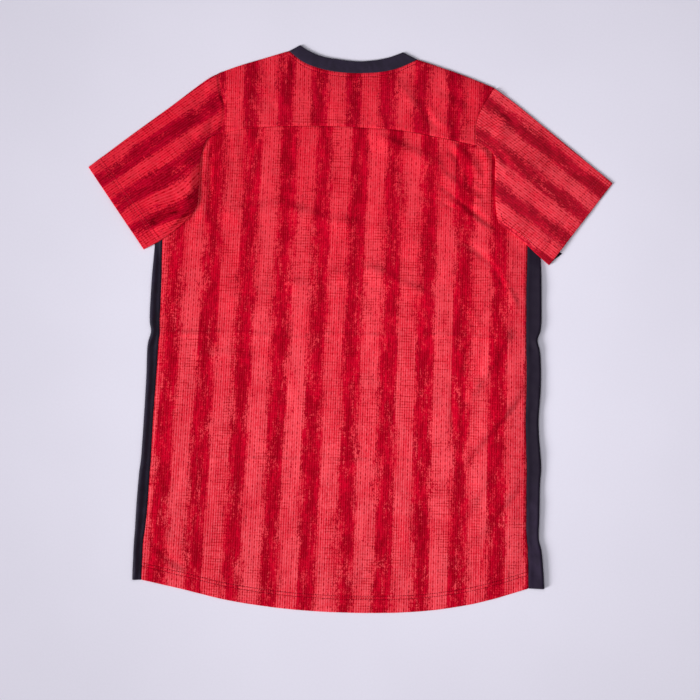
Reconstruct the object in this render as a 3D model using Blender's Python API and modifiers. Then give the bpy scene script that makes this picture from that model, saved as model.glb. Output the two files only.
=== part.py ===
"""A short-sleeved tennis shirt, laid flat on the ground with its back upwards.

Each piece of cloth is a wall of its own, cut and named as a maker would cut it.  Three layers lie
on each other: the front panel and the undersides of the sleeves rest on the ground, the back panel
and the yoke lie over them, and the upper halves of the sleeves lap over the body at the armholes.

Sizes are in millimetres until the meshes are made.  +Y runs up the garment to its collar, +X is to
the right of someone who looks down on it, and the centre line of the body is close to x = 0.
"""

import math
from collections import namedtuple

import bpy
from mathutils import Vector

MM = 0.001

# --------------------------------------------------------------------------------------------------
# Driving dimensions
# --------------------------------------------------------------------------------------------------

CLOTH = 1.0  # thickness of every wall of cloth
GAP = 0.3  # left between neighbours at a seam, and between cloth that lies on cloth
LOWER = CLOTH / 2  # height of the middle of a wall that lies on the ground
UPPER = LOWER + CLOTH + GAP  # the same for a wall that lies on the lower one
LAPPED = UPPER + CLOTH + GAP  # and for a wall that lies on both
FOLD_RADIUS = (UPPER - LOWER) / 2  # of the middle of a wall where it turns over
FOLD_DEPTH = FOLD_RADIUS + CLOTH / 2  # from the edge of a fold to where the wall lies flat again

ROW_STEP = 45.0  # the longest side of a cell along the body
BODY_COLUMNS_AT_SHOULDER = 4  # cells of the back under each shoulder
BODY_COLUMNS_AT_NECK = 14  # and under the neckline
FRONT_COLUMNS_AT_SHOULDER = 2
FRONT_COLUMNS_AT_NECK = 14
YOKE_ROWS = 4
ARMHOLE_ROWS = 6  # cells from the underarm to the yoke seam
FRONT_ARMHOLE_ROWS = 7  # cells of the front from the underarm to the shoulder
SLEEVE_COLUMNS = 7  # cells from the armhole to the cuff
FOLD_STEPS = 4  # cells round a fold
EVENING_ROUNDS = 80

BAND_DEPTH_INSIDE = 84.0  # from the neck points down to the front of the neckband, along its upper edge
BAND_DEPTH_OUTSIDE = 92.0  # and along the edge that is sewn to the front panel

LOFT = 1.6  # how far the slack middle of the back stands off the front
SLEEVE_PUFF = 3.4  # how far the upper half of a sleeve stands off its underside in the middle
SLEEVE_SLACK_AT_CUFF = 0.6

# --------------------------------------------------------------------------------------------------
# The cut, as it lies
# --------------------------------------------------------------------------------------------------

Point = namedtuple("Point", "x y")

# How far the side folds and the side seams lie from the centre line, from the hem up to the
# underarm.  The folds dent in where the shirt was folded across for storage.
BodyRow = namedtuple("BodyRow", "level left_fold left_seam right_seam right_fold")
BODY_ROWS = [
    BodyRow(-351, 288, 275, 258, 280),
    BodyRow(-299, 287, 275, 256, 275),
    BodyRow(-283, 286, 273, 254, 271),
    BodyRow(-255, 285, 270, 253, 271),
    BodyRow(-204, 282, 267, 252, 271),
    BodyRow(-186, 280, 266, 252, 272),
    BodyRow(-125, 277, 264, 249, 267),
    BodyRow(-70, 275, 261, 249, 269),
    BodyRow(-26, 274, 259, 248, 267),
    BodyRow(-9, 270, 258, 247, 263),
    BodyRow(5, 272, 258, 247, 267),
    BodyRow(55, 271, 257, 246, 267),
    BodyRow(105, 268, 257, 246, 265),
    BodyRow(140, 267, 257, 246, 263),
]
UNDERARM_SLANT = 8.0  # how much lower the side panels end at their folds than at their seams

BACK_HEM = [
    Point(-275, -351),
    Point(-222, -362),
    Point(-153, -377),
    Point(-70, -387),
    Point(20, -390),
    Point(110, -386),
    Point(178, -375),
    Point(219, -364),
    Point(258, -351),
]
FRONT_HEM = [
    Point(-275, -351),
    Point(-150, -359),
    Point(-8, -362),
    Point(134, -359),
    Point(258, -351),
]
YOKE_SEAM = [
    Point(-181, 266),
    Point(-133, 275),
    Point(-70, 279),
    Point(0, 279),
    Point(75, 275),
    Point(125, 266),
    Point(173, 257),
]
SHOULDERS = {
    "left": [Point(-185, 349), Point(-156, 360), Point(-128, 369), Point(-88, 382)],
    "right": [Point(196, 337), Point(148, 355), Point(120, 364), Point(88, 374)],
}
YOKE_ARMHOLES = {
    "left": [Point(-181, 266), Point(-175, 287), Point(-175, 302), Point(-180, 320), Point(-185, 349)],
    "right": [Point(173, 257), Point(172, 281), Point(174, 294), Point(180, 309), Point(196, 337)],
}
# From the underarm up to the yoke seam.  The sleeves hide these edges.
BACK_ARMHOLES = {
    "left": [
        Point(-257, 140),
        Point(-239, 154),
        Point(-222, 177),
        Point(-217, 205),
        Point(-215, 232),
        Point(-207, 254),
        Point(-181, 266),
    ],
    "right": [
        Point(246, 140),
        Point(230, 151),
        Point(215, 172),
        Point(210, 200),
        Point(209, 228),
        Point(201, 248),
        Point(173, 257),
    ],
}
FRONT_ARMHOLES = {
    "left": [
        Point(-257, 140),
        Point(-240, 152),
        Point(-212, 182),
        Point(-190, 225),
        Point(-177, 275),
        Point(-176, 312),
        Point(-185, 349),
    ],
    "right": [
        Point(246, 140),
        Point(231, 151),
        Point(207, 180),
        Point(188, 222),
        Point(176, 268),
        Point(178, 303),
        Point(196, 337),
    ],
}

# The neckband turns over at two short folds, one on each side of the neck.
NECK_FOLDS = {
    "left": {"inside": Point(-74, 390), "outside": Point(-88, 382)},
    "right": {"inside": Point(69, 383), "outside": Point(88, 374)},
}
BACK_NECK_INSIDE = [
    Point(-74, 390),
    Point(-63, 383),
    Point(-43, 375),
    Point(-18, 371),
    Point(9, 369),
    Point(44, 374),
    Point(69, 383),
]
BACK_NECK_OUTSIDE = [
    Point(-88, 382),
    Point(-67, 367),
    Point(-35, 357),
    Point(-2, 354),
    Point(36, 356),
    Point(62, 362),
    Point(88, 374),
]

# The upper half of each sleeve: its folded top edge, its lower edge, and the stretch of the armhole
# that laps over the body.  The cuff runs straight across from the end of the top edge.
SLEEVE_TOPS = {
    "left": [Point(-185, 349), Point(-198, 342), Point(-251, 301), Point(-305, 260), Point(-361, 216)],
    "right": [Point(196, 337), Point(222, 319), Point(262, 288), Point(308, 252), Point(361, 210)],
}
SLEEVE_LOWER_EDGES = {
    "left": [Point(-213, 156), Point(-227, 143), Point(-243, 126), Point(-258, 117), Point(-282, 104)],
    "right": [Point(207, 149), Point(222, 139), Point(240, 126), Point(256, 112), Point(276, 95)],
}
SLEEVE_LAPS = {
    "left": [
        Point(-181, 266),
        Point(-195, 260),
        Point(-203, 244),
        Point(-207, 220),
        Point(-207, 190),
        Point(-208, 168),
        Point(-213, 156),
    ],
    "right": [
        Point(173, 257),
        Point(189, 253),
        Point(198, 242),
        Point(199, 220),
        Point(200, 190),
        Point(202, 166),
        Point(207, 149),
    ],
}
# The black strip under each sleeve: where it ends at the cuff, and between which levels it meets the
# side fold of the body.  The right one's corner stands out past the cuff.
StripCorners = namedtuple("StripCorners", "cuff_upper cuff_lower body_low body_high")
UNDERARM_STRIPS = {
    "left": StripCorners(Point(-296, 124), Point(-282, 106), 114, 132),
    "right": StripCorners(Point(294, 111), Point(279, 99), 108, 132),
}

# The largest soft folds of the back.  Bearing is the fold's direction in degrees from +X, and a
# height below zero is a trough.
Fold = namedtuple("Fold", "x y bearing length width height")
BACK_FOLDS = [
    Fold(-10, 168, 2, 330, 62, 1.5),  # across the shoulder blades
    Fold(168, 172, -36, 120, 46, -1.5),  # from the back into the right underarm
    Fold(196, 196, -52, 110, 44, 1.2),
    Fold(-172, 190, 62, 130, 48, 1.3),  # from the left underarm up to the yoke
    Fold(210, 74, -50, 90, 48, 0.9),
    Fold(-130, 22, 4, 220, 60, 0.8),
    Fold(110, -92, -6, 260, 66, -0.9),
    Fold(-60, -235, 5, 300, 70, 0.8),
    Fold(150, -300, 12, 180, 60, -0.7),
]


# --------------------------------------------------------------------------------------------------
# Lines
# --------------------------------------------------------------------------------------------------


def as_vectors(points):
    return [Vector((point.x, point.y, 0.0)) for point in points]


def smooth_line(points, cells):
    """The smooth line through the points (centripetal Catmull-Rom), cut into cells of equal length."""
    knots = as_vectors(points)
    knots = [2 * knots[0] - knots[1]] + knots + [2 * knots[-1] - knots[-2]]
    fine = []
    for before, start, end, after in zip(knots, knots[1:], knots[2:], knots[3:]):
        fine.extend(catmull_rom(before, start, end, after, step / 24) for step in range(24))
    fine.append(knots[-2])
    return even_steps(fine, cells)


def catmull_rom(before, start, end, after, share):
    """The point a share of the way from start to end."""
    at_start = math.sqrt((start - before).length)
    at_end = at_start + math.sqrt((end - start).length)
    at_after = at_end + math.sqrt((after - end).length)
    t = at_start + share * (at_end - at_start)
    first = before.lerp(start, t / at_start)
    second = start.lerp(end, (t - at_start) / (at_end - at_start))
    third = end.lerp(after, (t - at_end) / (at_after - at_end))
    near = first.lerp(second, t / at_end)
    far = second.lerp(third, (t - at_start) / (at_after - at_start))
    return near.lerp(far, (t - at_start) / (at_end - at_start))


def even_steps(line, cells):
    """The line cut again into a number of cells of equal length."""
    lengths = [0.0]
    for start, end in zip(line, line[1:]):
        lengths.append(lengths[-1] + (end - start).length)
    even = [line[0].copy()]
    place = 0
    for cell in range(1, cells):
        wanted = lengths[-1] * cell / cells
        while lengths[place + 1] < wanted:
            place += 1
        share = (wanted - lengths[place]) / (lengths[place + 1] - lengths[place])
        even.append(line[place].lerp(line[place + 1], share))
    even.append(line[-1].copy())
    return even


def straight_line(start, end, cells):
    return [Vector(start).lerp(Vector(end), cell / cells) for cell in range(cells + 1)]


def inset(loop, distances):
    """The closed loop moved inwards, each of its sides by its own distance."""
    turning = sum(a.x * b.y - b.x * a.y for a, b in zip(loop, loop[1:] + loop[:1]))
    inwards = 1.0 if turning > 0 else -1.0
    moved = []
    for index, point in enumerate(loop):
        before = (point - loop[index - 1]).normalized()
        after = (loop[(index + 1) % len(loop)] - point).normalized()
        normal_before = Vector((-before.y, before.x, 0.0)) * inwards
        normal_after = Vector((-after.y, after.x, 0.0)) * inwards
        near, far = distances[index - 1], distances[index]
        corner = before.x * after.y - before.y * after.x
        if abs(corner) < 0.05:
            moved.append(point + (normal_before + normal_after).normalized() * (near + far) / 2)
        else:
            along = (far - near * normal_before.dot(normal_after)) / after.cross(before).length
            side = 1.0 if before.dot(normal_after) > 0 else -1.0
            moved.append(point + normal_before * near + before * along * side)
    return moved


def patch(bottom, top, left, right, seams):
    """A grid of points filling four lines (a Coons patch), inset from each line by its seam distance.

    The bottom and top lines run left to right, and the left and right lines run bottom to top.  The
    grid's rows run from the bottom to the top, and the seams are in the order of the lines.
    """
    columns, rows = len(bottom) - 1, len(left) - 1
    loop = bottom[:-1] + right[:-1] + top[:0:-1] + left[:0:-1]
    distances = [seams[0]] * columns + [seams[3]] * rows + [seams[1]] * columns + [seams[2]] * rows
    loop = inset(loop, distances)
    loop.append(loop[0])
    bottom = loop[: columns + 1]
    right = loop[columns : columns + rows + 1]
    top = loop[columns + rows : 2 * columns + rows + 1][::-1]
    left = loop[2 * columns + rows :][::-1]
    grid = []
    for row in range(rows + 1):
        v = row / rows
        line = []
        for column in range(columns + 1):
            u = column / columns
            across = left[row].lerp(right[row], u)
            upwards = bottom[column].lerp(top[column], v)
            corners = bottom[0].lerp(bottom[-1], u).lerp(top[0].lerp(top[-1], u), v)
            line.append(across + upwards - corners)
        grid.append(line)
    return evened(grid)


def evened(grid):
    """The grid with its inner points moved to the middle of their neighbours."""
    for _ in range(EVENING_ROUNDS):
        for row in range(1, len(grid) - 1):
            for column in range(1, len(grid[0]) - 1):
                beside = grid[row][column - 1] + grid[row][column + 1]
                above_and_below = grid[row - 1][column] + grid[row + 1][column]
                grid[row][column] = (beside + above_and_below) / 4
    return grid


# --------------------------------------------------------------------------------------------------
# Heights
# --------------------------------------------------------------------------------------------------


def ramp(share):
    """Rises smoothly from 0 to 1."""
    share = min(max(share, 0.0), 1.0)
    return share * share * (3 - 2 * share)


def fold_height(fold, x, y):
    """The height of one soft fold at a place on the back."""
    angle = math.radians(fold.bearing)
    along = (x - fold.x) * math.cos(angle) + (y - fold.y) * math.sin(angle)
    across = (y - fold.y) * math.cos(angle) - (x - fold.x) * math.sin(angle)
    along_share = ramp(1 - abs(along) / (fold.length / 2))
    return fold.height * along_share * ramp(1 - abs(across) / (fold.width / 2))


def back_slack(x, y):
    """How free the back is to stand off the front: 1 in the middle, 0 at its edges."""
    half_width = 250 - 50 * ramp((y - 60) / 100) - 25 * ramp((y - 160) / 80)
    top = 350 + 0.05 * abs(x) if abs(x) < 88 else 382 - 0.36 * (abs(x) - 88)
    return ramp((half_width - abs(x)) / 50) * ramp((y + 395) / 50) * ramp((top - y) / 45)


def back_height(x, y):
    """The height of the middle of the wall, for the back panel and the yoke alike."""
    folds = sum(fold_height(fold, x, y) for fold in BACK_FOLDS)
    return UPPER + back_slack(x, y) * max(LOFT + folds, 0.0)


def sleeve_height(along, down, yoke_share):
    """The height of a sleeve's upper half.

    Along runs 0 to 1 from the armhole to the cuff, and down from the top fold to the lower edge.
    """
    lap = LAPPED - UPPER + 0.1
    at_armhole = lap * ramp(down / yoke_share)
    at_cuff = SLEEVE_SLACK_AT_CUFF * math.sin(math.pi * down)
    at_lower_edge = lap * ramp((1 - along) / 0.2)
    edges = (at_armhole - lap * down) * (1 - along) + at_cuff * along + at_lower_edge * down
    puff = SLEEVE_PUFF * math.sin(math.pi * along) ** 0.7 * math.sin(math.pi * down)
    return UPPER + max(edges, at_lower_edge * down) + puff


# --------------------------------------------------------------------------------------------------
# Meshes
# --------------------------------------------------------------------------------------------------

RED_KNIT = {"colour": (0.66, 0.03, 0.05, 1.0), "roughness": 0.78}
BLACK_KNIT = {"colour": (0.022, 0.020, 0.032, 1.0), "roughness": 0.62}
BLACK_RIB = {"colour": (0.026, 0.024, 0.036, 1.0), "roughness": 0.80}


def cloth_material(name, colour, roughness):
    material = bpy.data.materials.new(name)
    material.use_nodes = True
    shader = material.node_tree.nodes["Principled BSDF"]
    shader.inputs["Base Color"].default_value = colour
    shader.inputs["Roughness"].default_value = roughness
    shader.inputs["Metallic"].default_value = 0.0
    material.diffuse_color = colour
    return material


def cloth_piece(name, grid, finish, collection, ring=False):
    """A wall of cloth on a grid of points.  In a ring the last row joins the first."""
    rows, columns = len(grid), len(grid[0])
    vertices = [point * MM for line in grid for point in line]
    faces = []
    for row in range(rows if ring else rows - 1):
        for column in range(columns - 1):
            here, above = row * columns + column, (row + 1) % rows * columns + column
            faces.append((here, here + 1, above + 1, above))
    mesh = bpy.data.meshes.new(name)
    mesh.from_pydata(vertices, [], faces)
    mesh.update()
    mesh.shade_smooth()
    mesh.set_sharp_from_angle(angle=math.radians(50))
    mesh.materials.append(cloth_material(name + "_cloth", **finish))
    piece = bpy.data.objects.new(name, mesh)
    collection.objects.link(piece)
    wall = piece.modifiers.new("wall of cloth", "SOLIDIFY")
    wall.thickness = CLOTH * MM
    wall.offset = 0.0
    wall.use_even_offset = True
    return piece


def raised(grid, height):
    """The grid with each point at the height that the function gives for its place."""
    return [[Vector((at.x, at.y, height(at.x, at.y))) for at in line] for line in grid]


# --------------------------------------------------------------------------------------------------
# Body
# --------------------------------------------------------------------------------------------------


def body_rows():
    """The rows of the table, with more between those that lie far apart."""
    rows = [BODY_ROWS[0]]
    for below, above in zip(BODY_ROWS, BODY_ROWS[1:]):
        steps = math.ceil((above.level - below.level) / ROW_STEP)
        for step in range(1, steps + 1):
            share = step / steps
            between = [low + (high - low) * share for low, high in zip(below, above)]
            rows.append(BodyRow(*between))
    return rows


def seam_line(side):
    if side == "left":
        return [Vector((-row.left_seam, row.level, 0.0)) for row in body_rows()]
    return [Vector((row.right_seam, row.level, 0.0)) for row in body_rows()]


def fold_line(side):
    """The outer edge of the body on one side, whose last point is slanted down to the underarm."""
    if side == "left":
        line = [Vector((-row.left_fold, row.level, 0.0)) for row in body_rows()]
    else:
        line = [Vector((row.right_fold, row.level, 0.0)) for row in body_rows()]
    line[-1].y -= UNDERARM_SLANT
    return line


def shoulder_and_neck_line(neckline, columns_at_shoulder):
    """From the left armhole over the left shoulder, round the neckline and over the right shoulder."""
    left = smooth_line(SHOULDERS["left"], columns_at_shoulder)
    right = smooth_line(SHOULDERS["right"], columns_at_shoulder)[::-1]
    return left[:-1] + neckline + right[1:]


def front_neckline(depth, left, right, cells):
    """Half an ellipse that hangs from two points."""
    left, right = as_vectors([left, right])
    middle, half = (left + right) / 2, (right - left) / 2
    line = []
    for cell in range(cells + 1):
        angle = math.pi * cell / cells
        line.append(middle - half * math.cos(angle) + Vector((0, -depth * math.sin(angle), 0)))
    return line


def back_panel(collection):
    columns = 2 * BODY_COLUMNS_AT_SHOULDER + BODY_COLUMNS_AT_NECK
    left = seam_line("left") + smooth_line(BACK_ARMHOLES["left"], ARMHOLE_ROWS)[1:]
    right = seam_line("right") + smooth_line(BACK_ARMHOLES["right"], ARMHOLE_ROWS)[1:]
    bottom, top = smooth_line(BACK_HEM, columns), smooth_line(YOKE_SEAM, columns)
    grid = patch(bottom, top, left, right, seams=[GAP / 2] * 4)
    return cloth_piece("back_panel", raised(grid, back_height), RED_KNIT, collection)


def back_yoke(collection):
    columns = 2 * BODY_COLUMNS_AT_SHOULDER + BODY_COLUMNS_AT_NECK
    left, right = (smooth_line(YOKE_ARMHOLES[side], YOKE_ROWS) for side in ("left", "right"))
    neckline = smooth_line(BACK_NECK_OUTSIDE, BODY_COLUMNS_AT_NECK)
    top = shoulder_and_neck_line(neckline, BODY_COLUMNS_AT_SHOULDER)
    grid = patch(smooth_line(YOKE_SEAM, columns), top, left, right, seams=[GAP / 2] * 4)
    return cloth_piece("back_yoke", raised(grid, back_height), RED_KNIT, collection)


def front_panel(collection):
    columns = 2 * FRONT_COLUMNS_AT_SHOULDER + FRONT_COLUMNS_AT_NECK
    left = seam_line("left") + smooth_line(FRONT_ARMHOLES["left"], FRONT_ARMHOLE_ROWS)[1:]
    right = seam_line("right") + smooth_line(FRONT_ARMHOLES["right"], FRONT_ARMHOLE_ROWS)[1:]
    ends = NECK_FOLDS["left"]["outside"], NECK_FOLDS["right"]["outside"]
    neckline = front_neckline(BAND_DEPTH_OUTSIDE, *ends, FRONT_COLUMNS_AT_NECK)
    top = shoulder_and_neck_line(neckline, FRONT_COLUMNS_AT_SHOULDER)
    grid = patch(smooth_line(FRONT_HEM, columns), top, left, right, seams=[GAP / 2] * 4)
    return cloth_piece("front_panel", raised(grid, lambda x, y: LOWER), RED_KNIT, collection)


def fold_section():
    """The turn of a wall's middle at a fold: pairs of depth from the fold's edge, and height."""
    section = []
    for step in range(FOLD_STEPS + 1):
        angle = math.pi * (step / FOLD_STEPS - 0.5)
        depth = FOLD_DEPTH - FOLD_RADIUS * math.cos(angle)
        section.append((depth, LOWER + FOLD_RADIUS + FOLD_RADIUS * math.sin(angle)))
    return section


def side_panel(side, collection):
    """A strip that starts at the front seam, turns over at the side and ends at the back seam."""
    inwards = 1.0 if side == "left" else -1.0
    grid = []
    for seam, fold in zip(seam_line(side), fold_line(side)):
        seam = seam - Vector((inwards * GAP / 2, 0, 0))
        middle = seam.lerp(fold, 0.45)
        line = [Vector((seam.x, seam.y, LOWER)), Vector((middle.x, middle.y, LOWER))]
        for depth, height in fold_section():
            line.append(Vector((fold.x + inwards * depth, fold.y, height)))
        line += [Vector((middle.x, middle.y, UPPER)), Vector((seam.x, seam.y, UPPER))]
        grid.append(line)
    for point in grid[-1]:
        point.y -= GAP / 2
    return cloth_piece("side_panel_" + side, grid, BLACK_KNIT, collection)


# --------------------------------------------------------------------------------------------------
# Neckband
# --------------------------------------------------------------------------------------------------


def band_section(inside, outside, height):
    """One section across the neckband, clear of the cloth that its outer edge is sewn to."""
    outside = outside + (inside - outside).normalized() * GAP / 2
    middle = inside.lerp(outside, 0.5)
    return [Vector((point.x, point.y, height)) for point in (inside, middle, outside)]


def band_fold(side, back_inside, back_outside):
    """The sections where the neckband turns over, from the front up to the back.

    Towards the front the edges of the band hang straight down from the fold, and towards the back
    they follow the first cells of the two back necklines.
    """
    inside, outside = as_vectors([NECK_FOLDS[side]["inside"], NECK_FOLDS[side]["outside"]])
    across = (outside - inside).normalized()
    outside = outside - across * CLOTH / 2
    inwards = Vector((-across.y, across.x, 0.0))
    if inwards.y > 0:
        inwards = -inwards
    down = Vector((0.0, -1.0, 0.0))
    sections = []
    for step, (depth, height) in enumerate(fold_section()):
        ends = []
        for point, back_line in ((inside, back_inside), (outside, back_outside)):
            along_back = (back_line[1] - back_line[0]).normalized()
            front_way = down * (depth / down.dot(inwards))
            back_way = along_back * (depth / along_back.dot(inwards))
            ends.append(point + front_way.lerp(back_way, step / FOLD_STEPS))
        sections.append(band_section(*ends, height))
    return sections


def neckband(collection):
    """A ring: round the back of the neck, over one fold, round the front and over the other."""
    left, right = NECK_FOLDS["left"], NECK_FOLDS["right"]
    back_inside = smooth_line(BACK_NECK_INSIDE, BODY_COLUMNS_AT_NECK)
    back_outside = smooth_line(BACK_NECK_OUTSIDE, BODY_COLUMNS_AT_NECK)
    cells = FRONT_COLUMNS_AT_NECK
    front_inside = front_neckline(BAND_DEPTH_INSIDE, left["inside"], right["inside"], cells)
    front_outside = front_neckline(BAND_DEPTH_OUTSIDE, left["outside"], right["outside"], cells)
    back_ends = zip(back_inside[1:-1], back_outside[1:-1])
    front_ends = zip(front_inside[-2:0:-1], front_outside[-2:0:-1])
    rows = [band_section(*ends, UPPER) for ends in back_ends]
    rows += band_fold("right", back_inside[::-1], back_outside[::-1])[::-1]
    rows += [band_section(*ends, LOWER) for ends in front_ends]
    rows += band_fold("left", back_inside, back_outside)
    return cloth_piece("neckband", rows, BLACK_RIB, collection, ring=True)


# --------------------------------------------------------------------------------------------------
# Sleeves
# --------------------------------------------------------------------------------------------------


def strip_corners(side):
    """The underarm strip's corners: upper and lower at the cuff, then low and high beside the body."""
    corners = UNDERARM_STRIPS[side]
    fold = fold_line(side)
    outwards = -1.0 if side == "left" else 1.0

    def beside_body(level):
        below, above = next(pair for pair in zip(fold, fold[1:]) if pair[1].y >= level)
        share = (level - below.y) / (above.y - below.y)
        return Vector((below.x + (above.x - below.x) * share + outwards * GAP / 2, level, 0.0))

    upper, lower = as_vectors([corners.cuff_upper, corners.cuff_lower])
    return upper, lower, beside_body(corners.body_low), beside_body(corners.body_high)


def underarm_strip(side, collection):
    upper, lower, body_low, body_high = strip_corners(side)
    grid = patch(
        straight_line(lower, body_low, 3),
        straight_line(upper, body_high, 3),
        straight_line(lower, upper, 2),
        straight_line(body_low, body_high, 2),
        seams=[GAP / 2] * 4,
    )
    grid = raised(grid, lambda x, y: LOWER)
    return cloth_piece("underarm_strip_" + side, grid, BLACK_KNIT, collection)


def sleeve_underside(side):
    """The grid of the half that lies on the ground, its rows from the underarm strip to the top fold."""
    top = smooth_line(SLEEVE_TOPS[side], SLEEVE_COLUMNS)
    armhole = [fold_line(side)[-1]] + smooth_line(FRONT_ARMHOLES[side], FRONT_ARMHOLE_ROWS)
    cuff_bottom, cuff_top = as_vectors([SLEEVE_LOWER_EDGES[side][-1], SLEEVE_TOPS[side][-1]])
    up_the_cuff = (cuff_top - cuff_bottom).normalized()
    strip_upper_corner = strip_corners(side)[0]
    strip_end = cuff_bottom + up_the_cuff * (strip_upper_corner - cuff_bottom).dot(up_the_cuff)
    lower_edge = straight_line(armhole[0], strip_end, SLEEVE_COLUMNS)
    cuff = straight_line(strip_end, cuff_top, len(armhole) - 1)
    grid = patch(lower_edge, top, armhole, cuff, seams=[GAP / 2, FOLD_DEPTH, GAP / 2, 0.0])
    return raised(grid, lambda x, y: LOWER)


def sleeve_upper_half(side):
    """The grid of the half that shows, its rows from the sleeve's top fold down to its lower edge."""
    top = smooth_line(SLEEVE_TOPS[side], SLEEVE_COLUMNS)
    lower_edge = smooth_line(SLEEVE_LOWER_EDGES[side], SLEEVE_COLUMNS)
    yoke_part = smooth_line(YOKE_ARMHOLES[side], YOKE_ROWS)[::-1]
    armhole = yoke_part + smooth_line(SLEEVE_LAPS[side], ARMHOLE_ROWS)[1:]
    rows = len(armhole) - 1
    cuff = straight_line(top[-1], lower_edge[-1], rows)
    grid = patch(top, lower_edge, armhole, cuff, seams=[FOLD_DEPTH, 0.0, GAP / 2, 0.0])
    for row, line in enumerate(grid):
        for column, point in enumerate(line):
            point.z = sleeve_height(column / SLEEVE_COLUMNS, row / rows, YOKE_ROWS / rows)
    return grid


def sleeve(side, collection):
    """One piece of cloth: the underside, the fold along the sleeve's top edge, and the upper half."""
    underside, upper_half = sleeve_underside(side), sleeve_upper_half(side)
    turn = []
    for _, height in fold_section()[1:-1]:
        turn.append([])
        for low, high in zip(underside[-1], upper_half[0]):
            point = low.lerp(high, (height - LOWER) / (UPPER - LOWER))
            turn[-1].append(Vector((point.x, point.y, height)))
    for line, (depth, _) in zip(turn, fold_section()[1:-1]):
        outwards = across_sleeve(side) * (FOLD_DEPTH - depth)
        for point in line:
            point += outwards
    return cloth_piece("sleeve_" + side, underside + turn + upper_half, RED_KNIT, collection)


def across_sleeve(side):
    """The direction square to a sleeve's top edge, out of the sleeve."""
    start, end = as_vectors([SLEEVE_TOPS[side][0], SLEEVE_TOPS[side][-1]])
    along = (end - start).normalized()
    across = Vector((-along.y, along.x, 0.0))
    return across if across.y > 0 else -across


# --------------------------------------------------------------------------------------------------
# The whole garment
# --------------------------------------------------------------------------------------------------


def clear_scene():
    for thing in list(bpy.data.objects):
        bpy.data.objects.remove(thing, do_unlink=True)


def put_on_the_origin(pieces, anchor):
    """Moves the garment so that the middle of its box is over the origin and it rests at height zero."""
    for piece in pieces:
        piece.parent = anchor
    bpy.context.view_layer.update()
    depsgraph = bpy.context.evaluated_depsgraph_get()
    corners = []
    for piece in pieces:
        solid = piece.evaluated_get(depsgraph)
        corners += [solid.matrix_world @ Vector(corner) for corner in solid.bound_box]
    low = Vector([min(corner[axis] for corner in corners) for axis in range(3)])
    high = Vector([max(corner[axis] for corner in corners) for axis in range(3)])
    anchor.location = (-(low.x + high.x) / 2, -(low.y + high.y) / 2, -low.z)


def main():
    clear_scene()
    collection = bpy.data.collections.new("tennis_shirt")
    bpy.context.scene.collection.children.link(collection)
    anchor = bpy.data.objects.new("tennis_shirt_middle", None)
    collection.objects.link(anchor)
    pieces = [make(collection) for make in (back_panel, back_yoke, front_panel, neckband)]
    for side in ("left", "right"):
        pieces += [make(side, collection) for make in (side_panel, underarm_strip, sleeve)]
    put_on_the_origin(pieces, anchor)


main()
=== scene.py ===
"""The looks of a short-sleeved tennis shirt that lies flat with its back upwards.

Every piece of cloth is a thin closed shell on the form of its CAD solid, with creases, rolled edges,
hems and stitches.  Sizes are in millimetres until a mesh is made.  +Y runs up the garment to its
collar and +X is to the right of someone who looks down on it.
"""

import math
from collections import namedtuple

import bpy
import numpy as np
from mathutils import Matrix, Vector

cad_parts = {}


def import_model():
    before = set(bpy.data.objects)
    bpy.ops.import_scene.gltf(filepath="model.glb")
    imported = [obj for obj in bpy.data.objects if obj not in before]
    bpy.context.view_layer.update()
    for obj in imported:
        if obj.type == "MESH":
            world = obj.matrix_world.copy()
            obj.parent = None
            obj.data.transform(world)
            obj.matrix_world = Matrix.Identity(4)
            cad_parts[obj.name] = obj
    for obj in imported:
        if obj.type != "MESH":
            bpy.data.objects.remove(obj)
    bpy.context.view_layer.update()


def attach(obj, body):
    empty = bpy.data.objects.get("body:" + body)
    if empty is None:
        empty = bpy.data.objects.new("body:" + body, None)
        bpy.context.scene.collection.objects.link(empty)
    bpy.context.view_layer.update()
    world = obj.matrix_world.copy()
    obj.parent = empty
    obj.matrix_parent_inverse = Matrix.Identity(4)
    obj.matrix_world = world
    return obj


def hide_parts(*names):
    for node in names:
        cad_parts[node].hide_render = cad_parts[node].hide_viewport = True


MM = 0.001
SIDES = ("left", "right")

# ---- Driving dimensions -------------------------------------------------------------------------

CLOTH = 0.8  # thickness of the knit
HEMMED = 1.3  # and where it is turned over and sewn
BAND = 1.2  # thickness of the neckband
BAND_WIDTH = 15.0
SEAM = 0.1  # from the edge of a piece to its seam line
LOWER = 0.5  # height of the middle of cloth that lies on the ground
UPPER = 1.8  # and of cloth that lies on that
NECKBAND_TOP = 2.2  # and of the part of the neckband that lies on its front half
CLEARANCE = 0.05  # the least room under cloth
HEM_DEPTH = 25.0
HEM_ROWS = (22.8, 18.2)  # rows of stitches, from the edge
CUFF_ROWS = (19.6, 15.4)
NECK_ROW = 6.0
LAP_ROW = 5.0  # along the right sleeve's lower edge
LAP_CORNER_LEVEL = 165.0  # where it starts
STITCH_LENGTH = 2.5
STITCH_PITCH = 3.1
STITCH_RADIUS = 0.42
BACK_LOFT = 2.1  # how far the back stands off the front where it is slack
SLEEVE_TOP = {"left": 5.8, "right": 5.0}  # height of the cloth where a sleeve laps over the body
SLEEVE_ROLL = {"left": 1.6, "right": 1.3}  # radius of that edge
SLEEVE_BULGE = {"left": 7.4, "right": 2.0}  # how far the cloth rises beside the underarm
SLEEVE_PUFF = {"left": 2.8, "right": 2.2}  # how far the upper half stands off the underside
CUFF_FLARE = {"left": 1.2, "right": 0.4}  # and how much further at the cuff
SLEEVE_TUCK = 9.0  # how far the cloth goes back under its edge
LAP_RISE = 2.4  # how far a sleeve's edge rises at once where its lap starts
LAP_LENGTH = 0.07  # along how much of the sleeve it does so, as a share
PANEL_FOLD = 6.0  # height of the cloth along the outer folds of the side panels

# ---- The cut, as it lies ------------------------------------------------------------------------

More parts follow.
